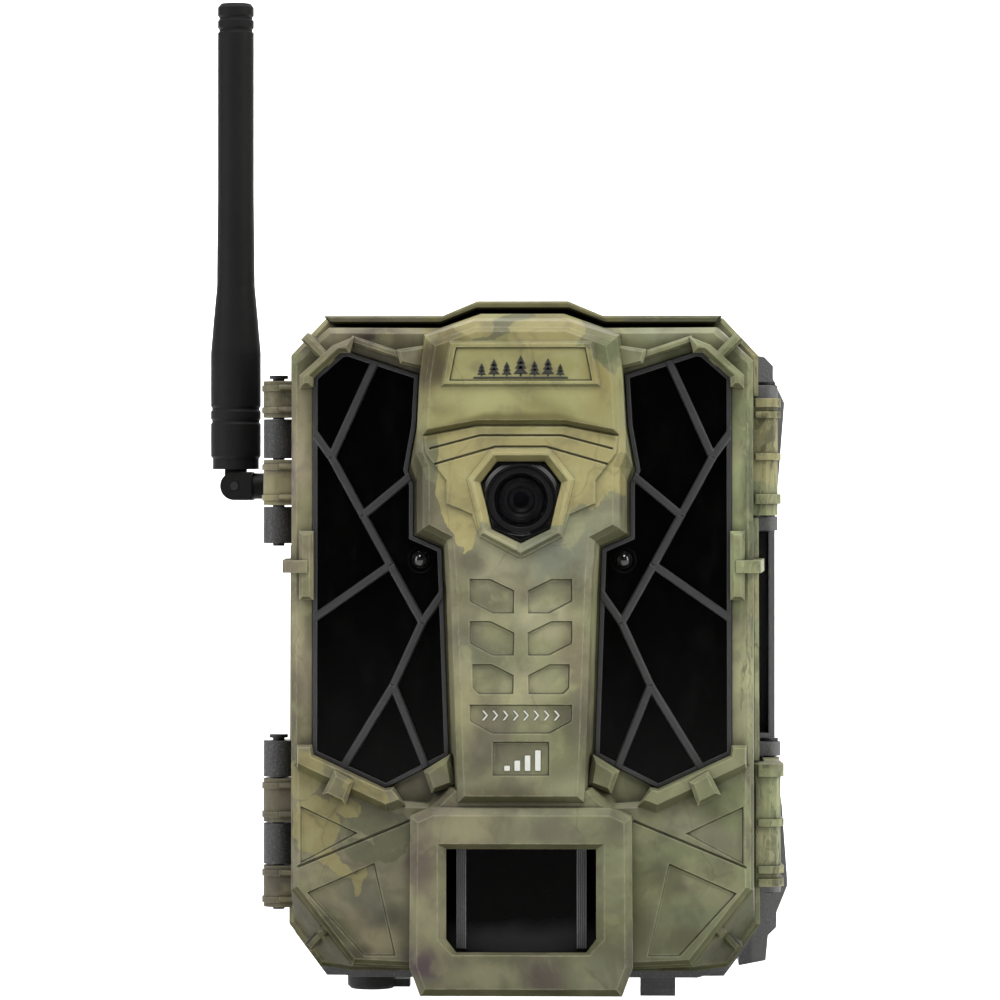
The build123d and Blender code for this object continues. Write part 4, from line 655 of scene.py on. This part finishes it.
def glass(name, tint, alpha, sheen):
    """Coated glass: see-through, with a coloured sheen at a slant.
    Tint and sheen are linear colours."""
    mat = Shader(name)
    slant = mat.node("ShaderNodeLayerWeight", {"Blend": 0.35}).outputs["Facing"]
    base = mat.cover((*tint, 1.0), (*sheen, 1.0), slant, amount=0.8)
    dust = mat.ramp(mat.noise(3.0, rough=0.6), 0.66, 0.8)
    base = mat.cover(base, rgb(200, 200, 200), dust, amount=0.06)
    return mat.done(base, mat.vary(0.02, dust, amount=0.2),
                    mat.bump(mat.noise(0.4), strength=0.02, distance=0.02),
                    Alpha=mat.vary(alpha, slant, amount=0.35, clamp=True),
                    Specular_IOR_Level=0.4)


def circuit_board(name):
    """Circuit board: green mask, paler traces, tinned pads and vias."""
    mat = Shader(name)
    x, _, z = mat.xyz
    # Traces are level lines, shifted from one column to the next.
    column = mat.math("FLOOR", mat.mul(x, 0.13))
    lines = mat.math("FRACT", mat.mul(mat.vary(z, column, amount=0.37), 0.9))
    rows = mat.size(mat.sub(lines, 0.5))
    run = mat.noise(0.22, detail=0, vector=mat.mapped(scale=(0.3, 1, 1)))
    base = mat.cover(rgb(14, 62, 34), rgb(30, 96, 52),
                     mat.fall(rows, 0.10, 0.16), mat.ramp(run, 0.48, 0.5))
    via = mat.voronoi(0.42, randomness=0.9)
    base = mat.mix(mat.fall(via, 0.22, 0.27), base, rgb(190, 186, 170))
    rounded = mat.rounded(0.15)
    base = mat.cover(base, rgb(150, 140, 96), mat.edge_mask(rounded, 0.02, 0.2), amount=0.4)
    relief = mat.vary(rows, via, amount=-0.4)
    normal = mat.bump(relief, strength=0.25, distance=0.04, normal=rounded)
    return mat.done(base, mat.vary(0.28, mat.noise(2.0), amount=0.15), normal, Coat_Weight=0.2)


def cell_sleeve(name):
    """Battery sleeve: dark body, copper-toned shoulder, steel ends, fine scuffs."""
    mat = Shader(name)
    x, _, z = mat.xyz
    # Height from the negative end: neighbours in a row lie head to tail.
    upper = mat.math("GREATER_THAN", z, 65.9)
    height = mat.sub(z, mat.math("MULTIPLY_ADD", upper, CELL_ROW_PITCH, CELL_BOTTOM))
    column = mat.math("FLOOR", mat.mul(mat.add(x, 2 * CELL_PITCH), 1.0 / CELL_PITCH))
    flipped = mat.math("MODULO", column, 2.0)
    turn = mat.mul(flipped, mat.sub(CELL_LENGTH, mat.mul(height, 2.0)))
    height = mat.add(height, turn)
    base = mat.mix(mat.ramp(height, 38.8, 39.2), rgb(34, 36, 40), rgb(178, 128, 70))
    band = mat.fall(mat.size(mat.sub(height, 37.4)), 0.35, 0.5)
    base = mat.mix(band, base, rgb(206, 206, 200))
    ends = mat.ramp(mat.size(mat.split(mat.true_normal)[2]), 0.6, 0.8)
    base = mat.mix(ends, base, rgb(178, 178, 176))
    scuff = mat.ramp(mat.noise(1.2, detail=5, rough=0.7), 0.62, 0.76)
    base = mat.cover(base, rgb(120, 118, 112), scuff, amount=0.25)
    normal = mat.bump(mat.noise(1.5), strength=0.06, distance=0.03, normal=mat.rounded(1.3))
    return mat.done(base, mat.vary(0.22, scuff, amount=0.3), normal,
                    metallic=mat.mul(ends, 0.9), Coat_Weight=0.3)


CAMO = camo("camo_print", bark=0.30)
CAMO_LATCH = camo("camo_print_latch", bark=0.9, seed=23.0, front=False)
BLACK_SHELL = plastic("black_spark", rgb(58, 58, 59), rough=0.46, grain=2.6, grain_height=0.20,
                      tone=0.3, edge=0.22, spark=0.34, radius=0.4, sides=True)
BLACK_PART = plastic("black_matte", rgb(26, 26, 27), rough=0.48, grain=7.0, grain_height=0.03)
GRILLE = plastic("grille_satin", rgb(31, 31, 32), rough=0.40, grain_height=0.03,
                 edge=0.50, radius=0.22)
FILTER = gloss("dark_filter", rgb(2, 2, 2), rough=0.10, dust=0.008, specular=0.08, coat=0.02)
GLOSS = gloss("gloss_black", rgb(5, 5, 6), rough=0.09, dust=0.015, specular=0.30, coat=0.10)
PIR = gloss("pir_black", rgb(1, 1, 1), rough=0.10, dust=0.003, specular=0.03, coat=0.0,
            glare=(18.5, 14.0, rgb(30, 30, 31)))
LENS_BLACK = plastic("lens_black", rgb(4, 4, 5), rough=0.40, grain=7.0, grain_height=0.02,
                     specular=0.16, edge=0.18)
DOME = gloss("smoked_dome", rgb(16, 16, 18), rough=0.05, dust=0.02)
ANTENNA = plastic("antenna_black", rgb(3, 3, 3), rough=0.58, grain=8.0, grain_height=0.02,
                  tone=0.18, edge=0.3, specular=0.16)
RUBBER = plastic("soft_rubber", rgb(24, 24, 24), rough=0.68, grain=5.0, tone=0.2, edge=0.3,
                 specular=0.35)
KEY = plastic("key_silicone", rgb(60, 61, 62), rough=0.62, grain_height=0.03)
STEEL = metal("plated_steel", rgb(196, 196, 198), rough=0.24)
SHIELD = metal("shield_tin", rgb(186, 186, 184), rough=0.34, along="x")
DARK_STEEL = metal("dark_steel", rgb(58, 58, 60), rough=0.38)
BRASS = metal("brass_machined", rgb(196, 160, 92), rough=0.26)
GLASS = glass("coated_glass", (0.006, 0.006, 0.008), alpha=0.12, sheen=(0.05, 0.03, 0.07))
FILTER_GLASS = glass("ir_cut_glass", (0.2, 0.6, 0.62), alpha=0.45, sheen=(0.6, 0.2, 0.3))
RESIN = glass("lamp_resin", (0.5, 0.45, 0.6), alpha=0.55, sheen=(0.8, 0.8, 0.9))
BOARD = circuit_board("board_green")
CELLS = cell_sleeve("cell_sleeve")
CARD = plastic("card_white", rgb(214, 212, 206), rough=0.4, grain_height=0.02, tone=0.05,
               edge=0.1)
SCREEN = gloss("screen_glass", rgb(8, 10, 13), rough=0.04, dust=0.01)
PLATE = camo("plate_print", bark=0.0)

LOOK = {
    "front_cover": CAMO, "latch_upper": CAMO_LATCH, "latch_lower": CAMO_LATCH,
    "name_plate": PLATE, "led_window_left": FILTER, "led_window_right": FILTER,
    "led_grille_left": GRILLE, "led_grille_right": GRILLE, "ir_led_board_left": BOARD,
    "ir_led_board_right": BOARD, "ir_leds": RESIN, "light_sensor": DOME, "status_led": DOME,
    "lens_hood": GLOSS, "lens_window": GLASS, "lens_barrel": LENS_BLACK,
    "lens_elements": GLASS, "lens_holder": BLACK_PART, "ir_cut_filter": FILTER_GLASS,
    "image_sensor_board": BOARD, "pir_lens": PIR, "pir_shroud": BLACK_PART,
    "pir_sensor": STEEL, "pir_board": BOARD, "main_board": BOARD, "cellular_module": SHIELD,
    "lcd_screen": SCREEN, "inner_panel": BLACK_SHELL, "button_up": KEY, "button_down": KEY,
    "button_back": KEY, "button_ok": KEY, "power_switch": BLACK_PART, "card_slot": SHIELD,
    "memory_card": BLACK_PART, "sim_slot": SHIELD, "sim_card": CARD, "data_socket": SHIELD,
    "panel_screws": STEEL, "rear_housing": BLACK_SHELL, "door_gasket": RUBBER,
    "hinge_pins": DARK_STEEL, "latch_pins": DARK_STEEL, "battery_tray": BLACK_PART,
    "aa_cells": CELLS, "battery_contacts": STEEL, "battery_springs": STEEL,
    "power_board": BOARD, "dc_jack": BLACK_PART, "tripod_insert": BRASS, "jack_cap": RUBBER,
    "antenna_connector": BRASS, "antenna_base": ANTENNA, "antenna_pin": DARK_STEEL,
    "antenna_whip": ANTENNA,
}
for name, part in parts.items():
    part.data.materials.clear()
    part.data.materials.append(LOOK[name])


# ------------------------------------------------------------ mesh helpers
def place_mesh(name, shape, material):
    mesh = bpy.data.meshes.new(name)
    shape.to_mesh(mesh)
    shape.free()
    mesh.materials.append(material)
    thing = bpy.data.objects.new(name, mesh)
    bpy.context.scene.collection.objects.link(thing)
    return thing


def piece(name, shape, material, body, bevel=0.0):
    bmesh.ops.recalc_face_normals(shape, faces=shape.faces)
    thing = place_mesh(name, shape, material)
    if bevel:
        modifier = thing.modifiers.new("round", "BEVEL")
        modifier.width = bevel * MM
        modifier.segments = 2
        modifier.limit_method = "ANGLE"
        modifier.angle_limit = math.radians(35)
    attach(thing, body)


def corner(shape, x, y, z):
    return shape.verts.new((x * MM, y * MM, z * MM))


def prism(shape, outline, y0, y1):
    """Solid between two depths from an outline in X and Z."""
    near = [corner(shape, x, y0, z) for x, z in outline]
    far = [corner(shape, x, y1, z) for x, z in outline]
    shape.faces.new(near)
    shape.faces.new(far[::-1])
    for i in range(len(outline)):
        j = (i + 1) % len(outline)
        shape.faces.new((near[i], far[i], far[j], near[j]))


def round_rect(x, z, width, height, radius, steps=5):
    outline = []
    for side_x, side_z, start in ((1, 1, 0), (-1, 1, 90), (-1, -1, 180), (1, -1, 270)):
        for k in range(steps + 1):
            angle = math.radians(start + 90 * k / steps)
            outline.append((x + side_x * (width / 2 - radius) + radius * math.cos(angle),
                            z + side_z * (height / 2 - radius) + radius * math.sin(angle)))
    return outline


def pill(x0, x1, z, height):
    return round_rect((x0 + x1) / 2, z, x1 - x0, height, height * 0.49)


def ring(shape, x, z, inner, outer, y0, y1, steps=64):
    """Flat ring about the Y axis, as a closed solid."""
    rows = []
    for radius, y in ((inner, y0), (outer, y0), (outer, y1), (inner, y1)):
        angles = [2 * math.pi * k / steps for k in range(steps)]
        rows.append([corner(shape, x + radius * math.cos(angle), y, z + radius * math.sin(angle))
                     for angle in angles])
    for row, following in zip(rows, rows[1:] + rows[:1]):
        for i in range(steps):
            j = (i + 1) % steps
            shape.faces.new((row[i], row[j], following[j], following[i]))


def face_y(part, rear):
    """Y of a part's rear or front face."""
    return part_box(part)[1 if rear else 0][1] * 1000


# -------------------------------------------------------------- extra pieces
POCKET_FLOOR = -58.92  # Y


def signal_bars():
    """Four rising bars in the square pocket."""
    shape = bmesh.new()
    for k in range(4):
        height = k + 1
        bar = round_rect(-2.7 + 2.0 * k, 45.7 + height / 2, 1.1, height, 0.2)
        prism(shape, bar, POCKET_FLOOR, -59.16)
    piece("signal_bars", shape, WHITE, "cover")


def label_marks():
    """Row of slim chevrons in the label pocket."""
    half_height, thickness, reach, z = 0.95, 0.38, 0.80, 56.5
    shape = bmesh.new()
    for k in range(8):
        x = -7.6 + 2.0 * k
        for side in (1, -1):
            end = z + side * half_height
            arm = [(x, end), (x + thickness, end), (x + reach + thickness, z), (x + reach, z)]
            prism(shape, arm, POCKET_FLOOR, -59.12)
    piece("label_marks", shape, WHITE, "cover")


# Pines of the name plate: X, height.
PINES = [(-7.6, 2.5), (-5.2, 3.3), (-2.7, 2.8), (0.0, 4.0), (2.7, 3.0), (5.3, 3.5), (7.7, 2.4)]
# Tiers of a pine, as parts of its height: bottom, top, half width.
PINE_TIERS = [(0.10, 0.52, 0.36), (0.36, 0.76, 0.29), (0.60, 1.0, 0.21)]


def emblem_trees():
    """Row of pines above a thin line, on the name plate."""
    face = face_y("name_plate", rear=False)
    foot = 122.6
    shape = bmesh.new()
    for x, height in PINES:
        y0, y1 = face + 0.02, face - 0.05
        for bottom, top, half in PINE_TIERS:
            low, reach = foot + bottom * height, half * height
            prism(shape, [(x - reach, low), (x + reach, low), (x, foot + top * height)], y0, y1)
        reach, top = 0.05 * height, foot + 0.15 * height
        trunk = [(x - reach, foot), (x + reach, foot), (x + reach, top), (x - reach, top)]
        prism(shape, trunk, y0, y1)
    prism(shape, round_rect(0.0, 122.3, 18.4, 0.34, 0.15), face + 0.02, face - 0.06)
    ink_dark = ink("print_dark", rgb(24, 25, 22), tone=0.1)
    piece("emblem_trees", shape, ink_dark, "cover")


# Triangles on three of the keys, about the key's centre: X, Z.
KEY_SIGNS = {
    "button_up": [(-1.5, -0.9), (1.5, -0.9), (0, 1.5)],
    "button_down": [(-1.5, 0.9), (1.5, 0.9), (0, -1.5)],
    "button_back": [(-0.9, -1.5), (-0.9, 1.5), (1.6, 0)],
    "button_ok": None,
}


def key_signs(grey):
    """A triangle or a ring on the rear face of each key."""
    for key, triangle in KEY_SIGNS.items():
        low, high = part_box(key)
        x, z, face = (low[0] + high[0]) * 500, (low[2] + high[2]) * 500, high[1] * 1000
        shape = bmesh.new()
        if triangle:
            outline = [(x + dx, z + dz) for dx, dz in triangle]
            prism(shape, outline, face - 0.01, face + 0.05)
        else:
            ring(shape, x, z, 1.1, 1.6, face - 0.01, face + 0.05, steps=40)
        piece(key + "_sign", shape, grey, key)


def panel_signs(grey):
    """Strokes, a ring and two arrows under bars, on the rear of the inner panel."""
    deck = -25.6
    y0, y1 = deck - 0.01, deck + 0.04
    shape = bmesh.new()
    for k, width in enumerate((0.9, 1.5, 2.1)):
        x = -0.4 + 4.4 * k
        prism(shape, pill(x - width / 2, x + width / 2 + 0.01, 66.0, 0.5), y0, y1)
    ring(shape, 17.0, 61.0, 0.9, 1.2, y0, y1, steps=32)
    prism(shape, pill(-7.2, -4.6, 61.0, 0.5), y0, y1)
    z = 49.0
    for x, width in ((-21.0, 15.0), (20.0, 9.0)):
        prism(shape, pill(x - width / 2, x + width / 2, z, 0.4), y0, y1)
        prism(shape, [(x - 1.2, z - 0.6), (x + 1.2, z - 0.6), (x, z - 2.0)], y0, y1)
    piece("panel_signs", shape, grey, "cover")


def screen_picture():
    """Active area of the screen and the marks on it: bars, a battery and four lines."""
    face = face_y("lcd_screen", rear=True)
    lit = gloss("screen_active", rgb(26, 33, 40), rough=0.10, dust=0.01, specular=0.4)
    shape = bmesh.new()
    prism(shape, round_rect(-7.0, 99.0, 34.6, 25.4, 0.6), face - 0.02, face + 0.03)
    piece("screen_area", shape, lit, "cover")

    outlines = []
    for k in range(4):
        height = 0.7 * (4 - k)
        outlines.append(round_rect(4.6 + 1.3 * k, 108.9 + height / 2, 0.75, height, 0.12))
    outlines.append(round_rect(-20.6, 109.6, 4.4, 2.2, 0.4))
    outlines.append(round_rect(-23.1, 109.6, 0.5, 1.1, 0.1))
    for k in range(4):
        z = 104.6 - 4.2 * k
        outlines.append(pill(-10.0 - 2.5 * (k % 2), 8.6, z, 1.1))
        outlines.append(pill(-22.8, -19.0, z, 1.1))
    shape = bmesh.new()
    for outline in outlines:
        prism(shape, outline, face + 0.02, face + 0.06)
    screen_ink = ink("screen_ink", rgb(120, 138, 146), rough=0.4, tone=0.1)
    piece("screen_marks", shape, screen_ink, "cover")


def cell_signs():
    """Plus signs on the front of the battery sleeves, near the positive ends."""
    axis_y, radius, from_end = -8.0, 7.15, 6.2
    y = axis_y - radius
    shape = bmesh.new()
    for k in range(4):
        x = (k - 1.5) * CELL_PITCH
        for bottom in (CELL_BOTTOM, CELL_BOTTOM + CELL_ROW_PITCH):
            z = bottom + CELL_LENGTH - from_end if k % 2 == 0 else bottom + from_end
            prism(shape, round_rect(x, z, 3.0, 0.8, 0.15), y + 0.2, y - 0.06)
            prism(shape, round_rect(x, z, 0.8, 3.0, 0.15), y + 0.2, y - 0.07)
    piece("cell_signs", shape, WHITE, "housing")


def pir_facets():
    """Thin upright strips at both sides of the motion sensor lens."""
    grey = plastic("strip_grey", rgb(66, 67, 68), grain=4.2, grain_height=0.09,
                   edge=0.3, spark=0.5)
    shape = bmesh.new()
    for side in (1, -1):
        for k in range(5):
            x = side * (11.0 + 0.4 * k)
            # The lens curves back by 3.2 at its sides, 14.3 from the middle.
            y = -56.5 + 3.2 * ((abs(x) / 14.3) ** 2) - 0.05
            prism(shape, round_rect(x, 20.4, 0.34, 19.6, 0.15), y + 0.2, y - 0.22)
    piece("pir_facets", shape, grey, "cover", bevel=0.06)


# Retaining rings in the lens hood: inner and outer radius, rear and front Y.
LENS_RINGS = [(5.3, 6.35, -58.8, -59.15), (3.75, 4.45, -57.25, -57.7), (2.15, 2.7, -56.75, -57.0)]


def lens_rings():
    shape = bmesh.new()
    for row in LENS_RINGS:
        ring(shape, 0, LENS_Z, *row)
    piece("lens_rings", shape, LENS_BLACK, "cover", bevel=0.08)


def hood_line_highlights():
    """Tapered arcs on the face of the lens hood, in its two upper corners, pale grey as a painted
    highlight.
    """
    face = face_y("lens_hood", rear=False)
    steps = 18
    shape = bmesh.new()
    # Radius, start and end angle in degrees.
    for radius, start, end in ((7.15, 14, 73), (7.40, 19, 67), (7.62, 23, 63)):
        for flipped in (False, True):
            outer, inner = [], []
            for k in range(steps + 1):
                angle = math.radians(start + (end - start) * k / steps)
                angle = math.pi - angle if flipped else angle
                half = 0.055 * math.sin(math.pi * (0.06 + 0.88 * k / steps))
                for line, reach in ((outer, radius + half), (inner, radius - half)):
                    line.append((reach * math.cos(angle), LENS_Z + reach * math.sin(angle)))
            prism(shape, outer + inner[::-1], face + 0.03, face - 0.05)
    # Painted highlight: the thin turned lines are pale grey.
    grey = plastic("hood_arc_highlight", rgb(112, 113, 114), rough=0.32, grain=7.0,
                   grain_height=0.02, tone=0.2, edge=0.2)
    piece("hood_line_highlights", shape, grey, "cover")


WHITE = ink("print_white", rgb(176, 178, 172))
signal_bars()
label_marks()
emblem_trees()
GREY = ink("print_grey", rgb(176, 178, 176))
key_signs(GREY)
panel_signs(GREY)
screen_picture()
cell_signs()
pir_facets()
lens_rings()
hood_line_highlights()
bpy.context.view_layer.update()


# -------------------------------------------------------------------- stage
def stage_paper():
    mat = Shader("stage_paper")
    base = mat.mix(mat.noise(0.004), rgb(244, 244, 242), rgb(249, 249, 248))
    normal = mat.bump(mat.noise(0.6, rough=0.6), strength=0.03, distance=0.05)
    return mat.done(base, 0.85, normal, Specular_IOR_Level=0.2)


def build_backdrop():
    """Floor that sweeps up into a rear wall. Lengths are in metres."""
    # The camera hangs a little above the floor, so that its open jack cap clears it.
    floor = min(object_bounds()[0][2], 0.0) - 0.0085
    half_width, front, bend_start, bend_radius, wall_top = 3.0, -2.6, 1.1, 0.8, 2.6
    steps = 16
    profile = [(front, floor), (bend_start, floor)]
    for k in range(1, steps + 1):
        angle = math.radians(90 * k / steps)
        profile.append((bend_start + bend_radius * math.sin(angle),
                        floor + bend_radius * (1 - math.cos(angle))))
    profile.append((bend_start + bend_radius, floor + wall_top))
    shape = bmesh.new()
    rows = [[shape.verts.new((x, y, z)) for x in (-half_width, half_width)] for y, z in profile]
    for row, following in zip(rows, rows[1:]):
        shape.faces.new((row[0], row[1], following[1], following[0]))
    backdrop = place_mesh("backdrop", shape, stage_paper())
    for face in backdrop.data.polygons:
        face.use_smooth = True


# ------------------------------------------------- light and camera, in metres
def area(name, place, size, power, target=(0, -0.03, 0.09), colour=(1, 1, 1)):
    lamp = bpy.data.lights.new(name, "AREA")
    lamp.shape = "RECTANGLE"
    lamp.size, lamp.size_y = size
    lamp.energy = power
    lamp.color = colour
    light = bpy.data.objects.new(name, lamp)
    bpy.context.scene.collection.objects.link(light)
    light.location = place
    aim = Vector(target) - Vector(place)
    light.rotation_euler = aim.to_track_quat("-Z", "Y").to_euler()


def build_lights():
    area("key_top", (0.02, -0.50, 1.05), size=(0.6, 0.4), power=13.0, colour=(1.0, 0.99, 0.97))
    area("fill_left", (-0.85, -0.45, 0.35), size=(0.35, 0.9), power=5.0, colour=(0.98, 0.99, 1.0))
    area("fill_right", (0.85, -0.45, 0.35), size=(0.35, 0.9), power=6.0, colour=(1.0, 1.0, 0.98))
    area("backdrop_wash", (0.0, 0.55, 1.3), size=(2.4, 0.5), power=45.0, target=(0, 1.9, 0.5))
    area("backdrop_low", (0.0, 0.25, 0.9), size=(2.4, 0.5), power=18.0, target=(0, 1.4, 0.0))


def build_world():
    """Sky brighter towards the top, and dimmer in reflections."""
    world = bpy.data.worlds.new("studio")
    bpy.context.scene.world = world
    sky = Nodes(world)
    direction = sky.node("ShaderNodeTexCoord").outputs["Generated"]
    height = sky.node("ShaderNodeSeparateXYZ", [direction]).outputs[2]
    gradient = sky.node("ShaderNodeValToRGB", [height])
    for stop, position, level in zip(gradient.color_ramp.elements, (0.0, 0.8), (0.55, 1.0)):
        stop.position = position
        stop.color = (level, level, level, 1)
    glossy = sky.node("ShaderNodeLightPath").outputs["Is Glossy Ray"]
    strength = sky.node("ShaderNodeMapRange", {0: glossy, "To Min": 0.27, "To Max": 0.10})
    background = sky.node("ShaderNodeBackground", [gradient.outputs[0], strength.outputs[0]])
    sky.node("ShaderNodeOutputWorld", [background.outputs[0]])


def build_camera():
    lens = bpy.data.cameras.new("camera")
    lens.sensor_width = 36.0
    lens.lens = 165.3
    lens.clip_start = 0.05
    lens.clip_end = 20.0
    camera = bpy.data.objects.new("camera", lens)
    scene = bpy.context.scene
    scene.collection.objects.link(camera)
    camera.location = (0.01935, -0.95369, 0.0985)
    camera.rotation_euler = (math.radians(90), 0, math.radians(1.5))
    scene.camera = camera
    scene.view_settings.view_transform = "Standard"
    scene.view_settings.look = "None"


build_backdrop()
build_lights()
build_world()
build_camera()
